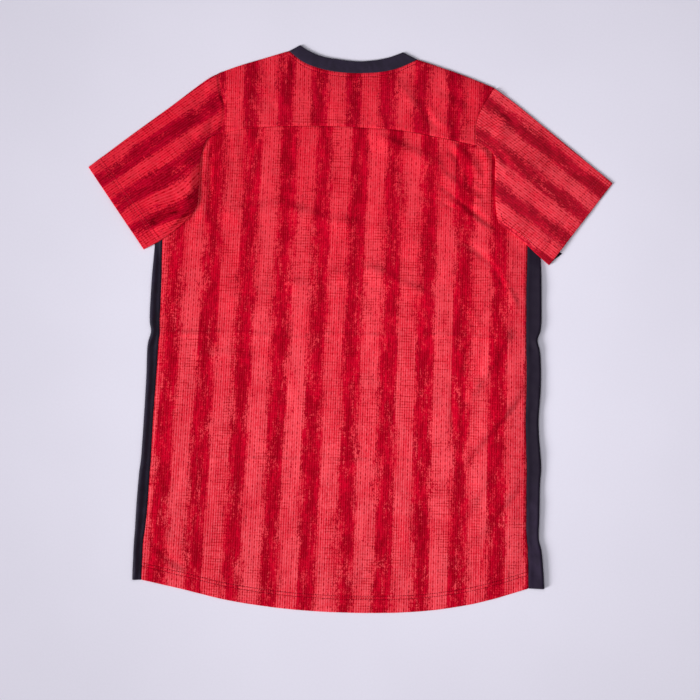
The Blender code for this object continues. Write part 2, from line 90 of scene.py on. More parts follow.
# From the hem up to the underarm: the level, and how far the folds and the seams of the two side
# panels lie from the centre line, in the order left fold, left seam, right seam, right fold.
BODY_ROWS = [
    (-351, 288, 275, 258, 280),
    (-299, 287, 274, 256, 275),
    (-283, 286, 272, 254, 271),
    (-255, 285, 269.5, 253, 271),
    (-204, 282, 267, 252, 271),
    (-186, 280, 266, 252, 272),
    (-125, 277, 264, 249, 267),
    (-70, 275, 261, 249, 269),
    (-26, 274, 259, 248, 267),
    (-9, 270, 258, 247, 263),
    (5, 272, 258, 247, 267),
    (55, 271, 257, 246, 267),
    (105, 268, 257, 246, 265),
    (140, 267, 257, 246, 263),
]
LEVELS, LEFT_FOLD, LEFT_SEAM, RIGHT_SEAM, RIGHT_FOLD = np.array(BODY_ROWS, float).T
SEAMS = {"left": np.stack([-LEFT_SEAM, LEVELS], 1), "right": np.stack([RIGHT_SEAM, LEVELS], 1)}
FOLDS = {"left": np.stack([-LEFT_FOLD, LEVELS], 1), "right": np.stack([RIGHT_FOLD, LEVELS], 1)}
for fold in FOLDS.values():
    fold[-1, 1] -= 8.0  # the underarm slants
SEAM_LENGTH = 491.0  # from the hem's corners up to the underarm

BACK_HEM = [
    (-275, -351),
    (-222, -362),
    (-153, -377),
    (-70, -387),
    (20, -390),
    (110, -386),
    (178, -375),
    (219, -364),
    (258, -351),
]
FRONT_HEM = [(-275, -351), (-150, -359), (-8, -362), (134, -359), (258, -351)]
YOKE_SEAM = [(-181, 266), (-133, 275), (-70, 279), (0, 279), (75, 275), (125, 266), (173, 257)]
SHOULDERS = {
    "left": [(-185, 349), (-156, 360), (-128, 369), (-88, 382)],
    "right": [(196, 337), (148, 355), (120, 364), (88, 374)],
}
YOKE_ARMHOLES = {
    "left": [(-181, 266), (-175, 287), (-175, 302), (-180, 320), (-185, 349)],
    "right": [(173, 257), (172, 281), (174, 294), (180, 309), (196, 337)],
}
# These edges, from the underarm up, lie under the sleeves.
BACK_ARMHOLES = {
    "left": [(-257, 140), (-239, 154), (-222, 177), (-217, 205), (-215, 232), (-207, 254), (-181, 266)],
    "right": [(246, 140), (230, 151), (215, 172), (210, 200), (209, 228), (201, 248), (173, 257)],
}
FRONT_ARMHOLES = {
    "left": [(-257, 140), (-240, 152), (-212, 182), (-190, 225), (-177, 275), (-176, 312), (-185, 349)],
    "right": [(246, 140), (231, 151), (207, 180), (188, 222), (176, 268), (178, 303), (196, 337)],
}
# The two edges of the neckband across the back.  It turns over where they end.
BACK_NECK = {
    "inside": [(-74, 390), (-63, 383), (-43, 375), (-18, 371), (9, 369), (44, 374), (69, 383)],
    "outside": [(-88, 382), (-67, 367), (-35, 357), (-2, 354), (36, 356), (62, 362), (88, 374)],
}
FRONT_NECK_DEPTH = {"inside": 84.0, "outside": 92.0}

SLEEVE_TOPS = {
    "left": [(-185, 349), (-198, 342), (-251, 301), (-305, 260), (-361, 216)],
    "right": [(196, 337), (222, 319), (262, 288), (308, 252), (361, 210)],
}
SLEEVE_LAPS = {
    "left": [(-181, 266), (-196, 260), (-204, 244), (-208, 220), (-208.5, 190), (-209, 171), (-213.5, 159)],
    "right": [(173, 257), (189, 253), (198, 242), (199, 220), (200, 190), (202, 166), (207, 149)],
}
SLEEVE_LOWER_EDGES = {
    "left": [(-213.5, 159), (-224, 146), (-240, 131), (-259, 117), (-282, 104)],
    "right": [(207, 149), (222, 139), (240, 126), (256, 112), (276, 95)],
}
# The underarm strips' upper and lower corner at the cuff, and their levels beside the body.
STRIP_AT_CUFF = {"left": [(-296, 124), (-282, 106)], "right": [(294, 111), (279, 99)]}
STRIP_LEVELS = {"left": (132, 114), "right": (132, 108)}

# ---- Creases ------------------------------------------------------------------------------------

# Each is a ridge, or a trough if its height is below zero: the height, how far it spreads on the left
# of its line and on the right, and the points that its line goes through.
BACK_CREASES = [
    # The ridge over the shoulder blades, and the second arc below it.
    (3.2, 7.6, 14.0, [(-182, 146), (-146, 162), (-118, 166), (-90, 167), (-62, 158)]),
    (3.6, 8.0, 14.0, [(-92, 167), (-60, 158), (-30, 149), (0, 146), (26, 142)]),
    (1.5, 7.5, 12.0, [(10, 146), (36, 140), (62, 131), (92, 122), (122, 106)]),
    (3.0, 6.4, 12.0, [(-170, 32), (-148, 39), (-134, 50), (-108, 58)]),
    (3.8, 6.8, 13.0, [(-94, 60), (-60, 64), (-42, 70), (-24, 79), (-8, 76)]),
    (4.6, 7.2, 13.0, [(-22, 70), (2, 75), (24, 83), (46, 78), (70, 70)]),
    (2.8, 7.0, 12.0, [(54, 74), (76, 63), (98, 55), (124, 40)]),
    # Where the shirt was folded for storage.
    (2.1, 2.8, 6.0, [(-266, -9), (-214, -10), (-150, -7)]),
    (1.3, 2.8, 5.0, [(-168, -5), (-120, -10), (-70, -14), (-30, -9)]),
    (1.4, 2.8, 5.0, [(-50, -8), (4, -7), (48, -8), (88, -6)]),
    (1.3, 2.6, 4.0, [(76, -6), (142, -5), (214, -8), (258, -11)]),
    (2.4, 4.0, 7.0, [(-218, -42), (-186, -38), (-152, -36), (-124, -44)]),
    (0.6, 3.0, 4.5, [(-258, -62), (-232, -56), (-196, -50)]),
    (1.5, 2.4, 4.4, [(-214, -184), (-160, -182), (-100, -181), (-40, -181)]),
    (1.2, 2.4, 4.4, [(-60, -183), (4, -181), (70, -179), (132, -181)]),
    (0.35, 2.2, 3.6, [(118, -179), (190, -182), (250, -178)]),
    (0.4, 2.4, 4.0, [(-208, 52), (-178, 55), (-150, 53)]),
    (0.4, 2.4, 3.4, [(-130, 57), (-96, 54), (-62, 55)]),
    (-0.35, 2.6, 2.6, [(-242, -160), (-200, -158), (-156, -161)]),
    (-0.3, 2.4, 2.4, [(-96, -62), (0, -59), (96, -58)]),
    (0.45, 2.2, 3.6, [(108, -309), (140, -307), (186, -303), (228, -304)]),
    (0.4, 2.4, 4.0, [(-246, -301), (-210, -302), (-180, -299)]),
    # From the yoke seam down to the right underarm.
    (4.4, 7.4, 15.0, [(28, 270), (52, 259), (78, 248), (104, 237), (134, 220)]),
    (2.0, 3.8, 7.0, [(118, 226), (142, 207), (160, 193), (180, 179), (198, 166)]),
    (-2.0, 2.8, 3.0, [(114, 209), (134, 194), (152, 180.5), (168, 168.5), (186, 156)]),
    (-3.4, 3.6, 3.8, [(150, 182), (168, 168.5), (184, 157.5), (200, 147.5), (214, 138.5), (228, 131)]),
    (1.3, 4.0, 6.0, [(130, 184), (150, 170), (172, 155), (196, 139)]),
    (-1.6, 2.6, 2.8, [(88, 187), (108, 184.5), (126, 178.5), (142, 171.5), (158, 165)]),
    (1.6, 4.5, 6.5, [(124, 272), (144, 256), (160, 240), (174, 222), (186, 200)]),
    (-2.2, 4.4, 4.4, [(126, 251), (143, 244), (150, 229), (149, 213), (145, 198)]),
    (-2.0, 3.4, 3.4, [(158, 222), (161, 210), (162, 199)]),
    (-0.8, 3.4, 3.4, [(140, 262), (158, 254), (172, 244), (182, 232)]),
    (-1.3, 2.8, 2.8, [(158, 193), (170, 183), (184, 176), (196, 172)]),
    (-1.1, 2.6, 2.6, [(164, 202), (178, 193), (196, 187)]),
    (-0.9, 2.4, 2.4, [(168, 211), (182, 205), (196, 201)]),
    (-0.7, 2.4, 2.4, [(160, 226), (178, 220), (194, 217)]),
    (4.4, 6.4, 6.0, [(168, 271), (181, 256), (189, 240), (192, 216), (192, 190), (194, 158)]),
    # From the right underarm down the side.
    (-2.6, 3.4, 3.6, [(146, 126), (166, 120), (184, 106), (200, 91), (211, 73), (221, 52)]),
    (1.8, 2.8, 4.0, [(196, 106), (207, 92), (217, 72), (228, 48), (239, 26)]),
    (-0.9, 3.2, 3.2, [(156, 40), (165, 24), (176, 8), (186, -4)]),
    (0.8, 3.4, 3.4, [(161, 44), (171, 28), (182, 12)]),
    (3.8, 6.8, 13.0, [(230, 6), (213, -12), (203, -36), (193, -56)]),
    (3.2, 6.8, 12.0, [(201, -44), (188, -62), (174, -80), (162, -92)]),
    (3.8, 6.8, 16.0, [(252, -60), (236, -88), (217, -113), (199, -136), (180, -154)]),
    (2.9, 6.2, 15.0, [(196, -138), (174, -164), (157, -186), (142, -210)]),
    (-1.6, 3.6, 3.6, [(252, -70), (238, -97), (221, -120), (203, -143), (186, -161)]),
    (2.6, 6.8, 15.0, [(252, -182), (238, -212), (215, -239), (200, -260)]),
    (2.4, 6.8, 14.0, [(210, -248), (186, -277), (164, -296), (146, -314)]),
    (-1.2, 4.0, 4.0, [(250, -206), (236, -230), (218, -250), (204, -268)]),
    (2.2, 6.8, 14.0, [(202, -190), (182, -226), (164, -251), (148, -272)]),
    (-1.6, 3.0, 3.0, [(146, -66), (147, -96), (148, -122), (151, -148)]),
    (1.1, 3.0, 3.6, [(156, -8), (158, -44), (157, -80)]),
    (-1.0, 3.6, 3.6, [(116, -106), (117, -140), (118, -184)]),
    # The lower left corner.
    (-2.4, 4.2, 4.6, [(-270, -268), (-264, -292), (-250, -310), (-226, -328), (-196, -338)]),
    (1.5, 5.0, 8.0, [(-272, -296), (-258, -316), (-234, -334), (-206, -342)]),
    (0.9, 8.0, 6.0, [(-262, -262), (-248, -286), (-226, -308), (-196, -322)]),
    # Beside the left sleeve.
    (3.4, 8.5, 5.6, [(-204, 138), (-203, 160), (-202, 190), (-201.5, 220), (-196, 260)]),
    (1.0, 5.0, 4.0, [(-216, 108), (-207, 132), (-203, 158), (-202, 178)]),
    (-2.2, 3.0, 3.4, [(-187, 264), (-193, 236), (-193, 204), (-192, 176), (-194, 150)]),
    (1.2, 8.0, 6.0, [(-186, 148), (-180, 174), (-172, 206), (-168, 240)]),
    (3.4, 5.0, 6.4, [(-256, 124), (-240, 135), (-226, 149), (-215, 162), (-210, 176)]),
    (-2.0, 4.0, 5.0, [(-240, 116), (-226, 131), (-216, 144), (-209, 156)]),
    # Along the yoke seam.
    (-2.0, 4.4, 4.4, [(-122, 276), (-131, 256), (-142, 240), (-154, 226)]),
    (0.8, 5.0, 5.0, [(-166, 268), (-158, 250), (-160, 232)]),
    (-0.8, 4.0, 4.0, [(-84, 278), (-80, 262), (-90, 240)]),
    (-0.9, 4.0, 4.0, [(14, 280), (20, 262), (28, 240), (26, 226)]),
    # Broad swells.
    (0.9, 15.0, 15.0, [(-160, 210), (-100, 216), (-30, 206), (20, 198)]),
    (-0.8, 12.0, 12.0, [(-110, 236), (-50, 240), (10, 228)]),
    (0.8, 14.0, 12.0, [(-196, 92), (-110, 104), (-40, 110)]),
    (-0.8, 10.0, 12.0, [(20, 108), (64, 100), (120, 84)]),
    (0.9, 12.0, 12.0, [(128, 96), (150, 70), (166, 52)]),
    (-0.8, 12.0, 14.0, [(-80, 34), (0, 40), (70, 30)]),
    (0.8, 14.0, 12.0, [(40, 14), (92, 20), (140, 6)]),
    (-0.8, 12.0, 12.0, [(-240, 4), (-190, 12), (-140, 18)]),
    (0.8, 14.0, 12.0, [(-240, -86), (-200, -100), (-160, -92)]),
    (-0.8, 12.0, 14.0, [(-100, -54), (-84, -92), (-94, -130)]),
    (0.7, 14.0, 12.0, [(-60, -40), (-30, -80), (-40, -128)]),
    (-0.8, 12.0, 12.0, [(26, -60), (60, -84), (84, -126)]),
    (0.9, 12.0, 14.0, [(70, -40), (104, -66), (128, -110)]),
    (0.7, 14.0, 12.0, [(-250, -140), (-214, -176), (-206, -220)]),
    (-0.8, 12.0, 12.0, [(-256, -180), (-236, -214), (-232, -250)]),
    (-0.8, 12.0, 12.0, [(-120, -206), (-100, -224), (-70, -214)]),
    (0.8, 12.0, 12.0, [(-170, -206), (-146, -236), (-150, -276)]),
    (-0.7, 12.0, 12.0, [(-60, -250), (-40, -280), (-46, -320)]),
    (0.8, 14.0, 12.0, [(-110, -262), (-100, -300), (-92, -340)]),
    (-0.8, 12.0, 12.0, [(20, -214), (44, -250), (48, -300)]),
    (0.8, 12.0, 14.0, [(62, -206), (84, -246), (92, -290)]),
    (0.7, 12.0, 12.0, [(0, -300), (14, -330), (10, -360)]),
    (-0.8, 9.0, 9.0, [(110, -250), (114, -290), (106, -340)]),
    (0.7, 12.0, 10.0, [(196, -320), (214, -334), (236, -336)]),
]
YOKE_CREASES = [
    (1.3, 4.0, 6.0, [(50, 352), (66, 338), (80, 318), (92, 302)]),
    (-1.2, 3.0, 3.4, [(86, 334), (98, 306), (110, 290), (126, 276)]),
    (1.1, 4.5, 4.5, [(98, 320), (112, 300), (126, 286), (142, 272)]),
    (-1.0, 5.0, 6.0, [(116, 334), (134, 328), (156, 318), (172, 312)]),
    (0.9, 6.0, 5.0, [(112, 324), (134, 316), (158, 306)]),
    (-1.0, 5.0, 5.0, [(132, 306), (138, 292), (146, 276)]),
    (0.9, 6.0, 6.0, [(-160, 322), (-134, 306), (-120, 286)]),
    (-0.9, 5.0, 6.0, [(-146, 330), (-120, 318), (-100, 296)]),
    (0.8, 10.0, 10.0, [(-70, 322), (-30, 312), (14, 318)]),
    (-0.7, 8.0, 8.0, [(-60, 296), (-20, 290), (30, 298)]),
    (1.2, 4.0, 6.0, [(-172, 344), (-168, 320), (-166, 292), (-172, 272)]),
    (-0.8, 4.0, 4.0, [(162, 336), (158, 312), (160, 284)]),
]
SLEEVE_CREASES = {
    "left": [
        # The puff beside the armhole, and the folds that run up from the underarm.
        (3.6, 13.0, 5.0, [(-234, 164), (-221, 180), (-215, 202), (-213, 236)]),
        (-10.0, 3.2, 3.8, [(-274, 138), (-264, 146), (-254, 153.5), (-241, 158.5), (-227, 161.5)]),
        (2.4, 4.0, 6.0, [(-276, 130), (-256, 140), (-240, 148), (-222, 158)]),
        (1.4, 8.0, 5.0, [(-276, 160), (-256, 166), (-238, 174), (-228, 184)]),
        (-1.4, 7.0, 7.0, [(-300, 170), (-266, 188), (-244, 204), (-232, 224)]),
        (1.3, 8.0, 9.0, [(-292, 196), (-262, 214), (-240, 236), (-222, 262)]),
        (-1.6, 6.0, 7.0, [(-244, 244), (-226, 262), (-208, 282), (-198, 304)]),
        (1.8, 7.0, 7.0, [(-212, 250), (-204, 268), (-198, 288), (-192, 312)]),
        (-1.2, 5.0, 6.0, [(-218, 306), (-204, 318), (-196, 334)]),
        (0.9, 12.0, 12.0, [(-322, 214), (-290, 238), (-252, 268)]),
        (-0.9, 12.0, 12.0, [(-336, 178), (-306, 200), (-276, 226)]),
        (1.0, 3.0, 3.0, [(-340, 206), (-330, 212), (-316, 216)]),
        (-0.8, 3.0, 3.0, [(-330, 176), (-316, 186), (-296, 190)]),
    ],
    "right": [
        (3.0, 8.0, 9.0, [(194, 256), (202, 268), (208, 286), (206, 306)]),
        (-3.8, 5.0, 6.0, [(174, 296), (180, 274), (191, 257), (210, 240), (224, 228)]),
        (1.2, 8.0, 8.0, [(208, 160), (230, 172), (256, 176)]),
        (-1.2, 7.0, 8.0, [(206, 186), (228, 200), (256, 206)]),
        (1.2, 9.0, 9.0, [(206, 214), (226, 228), (252, 236)]),
        (-1.4, 6.0, 7.0, [(196, 316), (214, 304), (232, 290)]),
        (0.9, 12.0, 13.0, [(258, 146), (284, 164), (316, 176)]),
        (-0.9, 12.0, 12.0, [(262, 226), (292, 226), (330, 216)]),
        (0.8, 12.0, 10.0, [(240, 270), (268, 262), (300, 240)]),
        (-0.9, 8.0, 8.0, [(262, 126), (282, 136), (308, 140)]),
    ],
}
SIDE_PANEL_CREASES = [
    (0.9, 3.0, 4.0, [(-280, -196), (-270, -190), (-260, -187)]),
    (0.9, 3.0, 4.0, [(-274, -18), (-265, -12), (-256, -9)]),
    (-0.9, 3.5, 3.5, [(-277, -40), (-268, -26), (-260, -16)]),
    (-0.8, 4.0, 4.0, [(-276, -236), (-272, -224), (-264, -212)]),
    (-0.8, 4.0, 4.0, [(-288, -322), (-280, -306), (-272, -290)]),
    (1.0, 3.5, 3.5, [(247, -10), (256, -10), (267, -14)]),
    (-1.0, 3.5, 3.5, [(246, -28), (257, -19), (267, -16)]),
    (0.9, 4.0, 4.0, [(248, -58), (258, -44), (269, -36)]),
    (0.9, 5.0, 5.0, [(248, -98), (259, -84), (269, -74)]),
    (-0.9, 5.0, 4.0, [(249, -120), (260, -104), (268, -92)]),
    (0.8, 4.0, 4.0, [(250, -186), (261, -182), (272, -184)]),
    (-1.0, 4.0, 4.0, [(252, -240), (262, -226), (271, -214)]),
    (-0.9, 4.0, 4.0, [(253, -300), (264, -288), (273, -276)]),
    (0.8, 4.0, 4.0, [(256, -312), (266, -300), (275, -292)]),
]


# ---- Lines --------------------------------------------------------------------------------------


def along(line):
    """How far each point of a line lies along it."""
    lengths = np.linalg.norm(np.diff(line, axis=0), axis=1)
    return np.concatenate([[0.0], np.cumsum(lengths)])


def at_lengths(line, lengths):
    """The points that lie these lengths along the line."""
    places = along(line)
    return np.stack([np.interp(lengths, places, line[:, axis]) for axis in range(line.shape[1])], 1)


def at_shares(line, shares):
    return at_lengths(line, np.asarray(shares) * along(line)[-1])


def by_width(line, shares):
    """The points of a line that runs from left to right, at shares of its width."""
    x = line[0, 0] + (line[-1, 0] - line[0, 0]) * shares
    return np.stack([x, np.interp(x, line[:, 0], line[:, 1])], 1)


def smooth_line(points, cells=240):
    """The smooth line through the points (centripetal Catmull-Rom), in cells of equal length."""
    knots = np.array(points, float)
    knots = np.vstack([2 * knots[0] - knots[1], knots, 2 * knots[-1] - knots[-2]])
    between = np.arange(24) / 24
    fine = []
    for before, start, end, after in zip(knots, knots[1:], knots[2:], knots[3:]):
        at_start = math.sqrt(np.linalg.norm(start - before))
        at_end = at_start + math.sqrt(np.linalg.norm(end - start))
        at_after = at_end + math.sqrt(np.linalg.norm(after - end))
        t = (at_start + between * (at_end - at_start))[:, None]
        first = before + (start - before) * t / at_start
        second = start + (end - start) * (t - at_start) / (at_end - at_start)
        third = end + (after - end) * (t - at_end) / (at_after - at_end)
        near = first + (second - first) * t / at_end
        far = second + (third - second) * (t - at_start) / (at_after - at_start)
        fine.append(near + (far - near) * (t - at_start) / (at_end - at_start))
    fine.append(knots[-2:-1])
    return at_shares(np.vstack(fine), np.linspace(0, 1, cells + 1))


def half_ellipse(depth, ends, cells):
    """Half an ellipse that hangs from two points."""
    left, right = np.array(ends, float)
    angles = math.pi * np.arange(cells + 1) / cells
    across = (left + right) / 2 - np.cos(angles)[:, None] * (right - left) / 2
    return across + np.stack([0 * angles, -depth * np.sin(angles)], 1)


def unit(vectors):
    return vectors / np.linalg.norm(vectors, axis=-1, keepdims=True)


def square_to(line, away):
    """Unit directions square to a line at each of its points, on the side that away points to."""
    tangent = np.gradient(line, axis=0)
    square = unit(np.stack([-tangent[:, 1], tangent[:, 0]], 1))
    return square * np.sign((square * away).sum(1))[:, None]


def ramp(share):
    """Rises smoothly from 0 to 1."""
    share = np.clip(share, 0.0, 1.0)
    return share * share * (3 - 2 * share)


def bell(distance, spread):
    return np.exp(-((distance / spread) ** 2))


def at_least(value, least, blend=0.35):
    """The greater of the two, with a soft change between them."""
    return (value + least + np.sqrt((value - least) ** 2 + blend**2)) / 2


# Where the lines of a grid lie closer: at this place, with this step, and as far as this from it.
Fine = namedtuple("Fine", "place step reach")


def steps(length, step, *fine_places):
    """Places from 0 to a length, a step apart, and closer near the fine places."""
    dense = np.linspace(0, length, 4000)
    rate = np.full(len(dense), 1 / step)
    for fine in fine_places:
        rate += (1 / fine.step - 1 / step) * np.exp(-(((dense - fine.place) / fine.reach) ** 4))
    rate = np.minimum(rate, 1 / min([step] + [fine.step for fine in fine_places]))
    total = np.concatenate([[0.0], np.cumsum((rate[1:] + rate[:-1]) / 2 * np.diff(dense))])
    cells = math.ceil(total[-1])
    return np.interp(np.linspace(0, total[-1], cells + 1), total, dense)


def relief(x, y, creases):
    """The height that the creases add at each place."""
    height = np.zeros_like(x)
    for number, (crest, left, right, points) in enumerate(creases):
        line = smooth_line(points, 24)
        places = along(line)
        nearest = np.full(x.shape, np.inf)
        signed, share = np.zeros_like(x), np.zeros_like(x)
        for start, end, at_start, at_end in zip(line, line[1:], places, places[1:]):
            way = (end - start) / (at_end - at_start)
            forwards = (x - start[0]) * way[0] + (y - start[1]) * way[1]
            sideways = (y - start[1]) * way[0] - (x - start[0]) * way[1]
            held = np.clip(forwards, 0, at_end - at_start)
            distance = np.hypot(sideways, forwards - held)
            closer = distance < nearest
            nearest = np.where(closer, distance, nearest)
            signed = np.where(closer, np.where(sideways > 0, distance, -distance), signed)
            share = np.where(closer, (at_start + held) / places[-1], share)
        profile = bell(nearest, np.where(signed > 0, left, right))
        # It is uneven along its line and fades out at both ends.
        uneven = 0.8 + 0.2 * np.sin(7.0 * share + 1.7 * number) + 0.1 * np.sin(17.0 * share + number)
        ends = ramp(share / 0.22) * ramp((1 - share) / 0.22)
        height += crest * profile * uneven * ends
    return height


def unevenness(x, y, scale, seed):
    """A gentle waviness of about unit height: a sum of seeded plane waves."""
    random = np.random.default_rng(seed)
    total = np.zeros_like(x)
    waves = 26
    for _ in range(waves):
        length = scale * random.uniform(0.6, 2.0)
        bearing, phase = random.uniform(0, 2 * math.pi, 2)
        place = x * math.cos(bearing) + y * math.sin(bearing)
        total += np.sin(2 * math.pi * place / length + phase)
    return total / math.sqrt(waves / 2)


# ---- Grids --------------------------------------------------------------------------------------


def fill(bottom, top, left, right, bottom_fade, top_fade):
    """A grid between four lines that share their corners.  Its rows run from left to right.

    The fades say, for each row, how much of the bottom and of the top line's shape it keeps.
    """
    across = np.linspace(0, 1, len(bottom))
    bottom_shares, bottom_bow = along_chord(bottom)
    top_shares, top_bow = along_chord(top)
    shares = bottom_shares * bottom_fade[:, None] + top_shares * top_fade[:, None]
    shares += across * (1 - bottom_fade - top_fade)[:, None]
    grid = left[:, None] + (right - left)[:, None] * shares[:, :, None]
    grid += bottom_fade[:, None, None] * bottom_bow
    grid += top_fade[:, None, None] * top_bow
    return grid


def along_chord(line):
    """How far each point of a line lies along its chord, as a share, and its way from there."""
    chord = line[-1] - line[0]
    shares = (line - line[0]) @ chord / (chord @ chord)
    return shares, line - (line[0] + chord * shares[:, None])


def from_edges(grid):
    """The distances of each point from the first and last row and the first and last column."""
    up = np.linalg.norm(np.diff(grid, axis=0), axis=2)
    over = np.linalg.norm(np.diff(grid, axis=1), axis=2)
    first_row = np.vstack([np.zeros((1, grid.shape[1])), np.cumsum(up, axis=0)])
    first_column = np.hstack([np.zeros((grid.shape[0], 1)), np.cumsum(over, axis=1)])
    return first_row, first_row[-1] - first_row, first_column, first_column[:, -1:] - first_column


def drawn_in(grid):
    """The grid with its outermost lines moved in from the seam lines."""
    grid = grid.copy()
    rows = (np.s_[0, :], np.s_[1, :]), (np.s_[-1, :], np.s_[-2, :])
    columns = (np.s_[:, 0], np.s_[:, 1]), (np.s_[:, -1], np.s_[:, -2])
    for outermost, next_to_it in rows + columns:
        way = grid[next_to_it] - grid[outermost]
        grid[outermost] += way * SEAM / np.linalg.norm(way, axis=1, keepdims=True)
    return grid


def with_height(grid, height):
    return np.concatenate([grid, height[:, :, None]], axis=2)


def normals_of(grid, ring=False):
    if ring:
        up = np.roll(grid, -1, axis=0) - np.roll(grid, 1, axis=0)
    else:
        up = np.gradient(grid, axis=0)
    return unit(np.cross(np.gradient(grid, axis=1), up))


def cells_of(index):
    """The four corners of each cell of a grid of numbered points, against the clock."""
    return np.stack([index[:-1, :-1], index[:-1, 1:], index[1:, 1:], index[1:, :-1]], 2).reshape(-1, 4)


# ---- Meshes -------------------------------------------------------------------------------------

RIM_ANGLES = (0.25 * math.pi, 0.5 * math.pi, 0.75 * math.pi)  # round the edge of the cloth
# The parts of the bake map for both sides of the cloth and for its rim.
BakeArea = namedtuple("BakeArea", "corner size")
SHOWN_AREA = BakeArea((0.005, 0.005), (0.99, 0.72))
HIDDEN_AREA = BakeArea((0.005, 0.755), (0.99, 0.2))
RIM_AREA = BakeArea((0.005, 0.965), (0.99, 0.03))


def put_in_scene(name, data):
    holder = bpy.data.objects.new(name, data)
    bpy.context.scene.collection.objects.link(holder)
    return holder


def lay_map(mesh, name, places):
    layer = mesh.uv_layers.new(name=name)
    layer.uv.foreach_set("vector", places.astype(np.float32).ravel())


def make_piece(name, vertices, faces, pattern, material):
    """An object whose vertices have a place, across and along, on the printed cloth."""
    mesh = bpy.data.meshes.new(name)
    mesh.from_pydata((np.asarray(vertices) * MM).tolist(), [], faces)
    mesh.shade_smooth()
    corners = np.empty(len(mesh.loops), np.int32)
    mesh.loops.foreach_get("vertex_index", corners)
    lay_map(mesh, "Cloth", np.asarray(pattern)[corners] * MM)
    mesh.materials.append(material)
    return put_in_scene(name, mesh)


def border(rows, columns, ring):
    """The closed loops of grid points round the edge, each against the clock."""
    index = np.arange(rows * columns).reshape(rows, columns)
    if ring:
        return [index[:, -1], index[::-1, 0]]
    return [np.concatenate([index[0, :-1], index[:-1, -1], index[-1, :0:-1], index[:0:-1, 0]])]


def strip_faces(first, second):
    """Faces between two closed loops of the same length."""
    return np.stack([first, np.roll(first, -1), np.roll(second, -1), second], 1)


def shell(name, grid, thickness, pattern, material, ring=False):
    """A closed wall of cloth round a grid, with rounded edges.

    Pattern gives each grid point's place on the printed cloth, across and along its stripes.
    """
    rows, columns = grid.shape[:2]
    count = rows * columns
    normals = normals_of(grid, ring).reshape(-1, 3)
    half = np.broadcast_to(thickness, (rows, columns)).reshape(-1, 1) / 2
    middle = grid.reshape(-1, 3)
    points = [middle + normals * half, middle - normals * half]
    index = np.arange(count).reshape(rows, columns)
    outer = cells_of(np.vstack([index, index[:1]]) if ring else index)
    faces = [outer, outer[:, ::-1] + count]
    sources = [np.arange(count), np.arange(count)]
    filled = 2 * count
    rim_faces = 0
    for loop in border(rows, columns, ring):
        tangent = np.roll(middle[loop], -1, axis=0) - np.roll(middle[loop], 1, axis=0)
        outwards = unit(np.cross(tangent, normals[loop]))
        last = loop
        for angle in RIM_ANGLES:
            way = normals[loop] * math.cos(angle) + outwards * math.sin(angle)
            points.append(middle[loop] + way * half[loop])
            sources.append(loop)
            following = np.arange(filled, filled + len(loop))
            faces.append(strip_faces(following, last))
            filled += len(loop)
            last = following
        faces.append(strip_faces(loop + count, last))
        rim_faces += len(loop) * (len(RIM_ANGLES) + 1)
    pattern = pattern.reshape(-1, 2)[np.concatenate(sources)]
    piece = make_piece(name, np.vstack(points), np.vstack(faces).tolist(), pattern, material)
    lay_bake_map(piece.data, grid, ring, rim_faces)
    return piece


def lay_bake_map(mesh, grid, ring, rim_faces):
    """A second map without overlaps, whose larger part is the side of the cloth that shows."""
    closed = np.concatenate([grid, grid[:1]]) if ring else grid
    up = along(closed.mean(axis=1))
    over = along(closed[len(grid) // 2])
    at = np.stack(np.meshgrid(over / over[-1], up / up[-1]), 2).reshape(-1, 2)
    cells = cells_of(np.arange(len(at)).reshape(len(up), len(over)))
    unit_square = np.array([(0, 0), (1, 0), (1, 1), (0, 1)], float)
    rim = unit_square + np.stack([np.arange(rim_faces), np.zeros(rim_faces)], 1)[:, None]
    rim = (rim / (rim_faces, 1)).reshape(-1, 2)
    parts = ((at[cells.ravel()], SHOWN_AREA), (at[cells[:, ::-1].ravel()], HIDDEN_AREA), (rim, RIM_AREA))
    lay_map(mesh, "OFBake", np.vstack([area.corner + places * area.size for places, area in parts]))


STITCH_SIDES = 6
# How far along a stitch, as a share, and how thick it is there, as a share of its radius.
STITCH_PROFILE = [(0.0, 0.25), (0.12, 0.8), (0.5, 1.0), (0.88, 0.8), (1.0, 0.25)]
STITCH_BOW = 0.6  # how far its middle rises above its ends, in radii
STITCH_SUNK = 0.25  # and how deep they lie in the cloth


def stitches(name, rows, material):
    """Short raised stitches along lines of points with their normals."""
    vertices, faces, places = [], [], []
    last_ring = (len(STITCH_PROFILE) - 1) * STITCH_SIDES
    for line, normals in rows:
        starts = np.arange(0.5, along(line)[-1] - STITCH_LENGTH, STITCH_PITCH)
        begins = at_lengths(line, starts)
        ends = at_lengths(line, starts + STITCH_LENGTH)
        ups = at_lengths(np.hstack([line, normals]), starts + STITCH_LENGTH / 2)[:, 3:]
        for begin, end, up, start in zip(begins, ends, ups, starts):
            sideways = np.cross(unit(end - begin), up)
            first = len(vertices)
            for share, width in STITCH_PROFILE:
                rise = 4 * STITCH_BOW * share * (1 - share) - STITCH_SUNK
                centre = begin + (end - begin) * share + up * STITCH_RADIUS * rise
                for turn in range(STITCH_SIDES):
                    angle = 2 * math.pi * turn / STITCH_SIDES
                    out = sideways * math.cos(angle) + up * math.sin(angle)
                    vertices.append(centre + out * STITCH_RADIUS * width)
                    places.append((turn / 2.0, start + share * STITCH_LENGTH))
            for ring in range(first, first + last_ring, STITCH_SIDES):
                for turn in range(STITCH_SIDES):
                    here, beside = ring + turn, ring + (turn + 1) % STITCH_SIDES
                    faces.append((here, beside, beside + STITCH_SIDES, here + STITCH_SIDES))
            faces.append(tuple(range(first + STITCH_SIDES - 1, first - 1, -1)))
            faces.append(tuple(range(first + last_ring, first + last_ring + STITCH_SIDES)))
    return make_piece(name, vertices, faces, places, material)


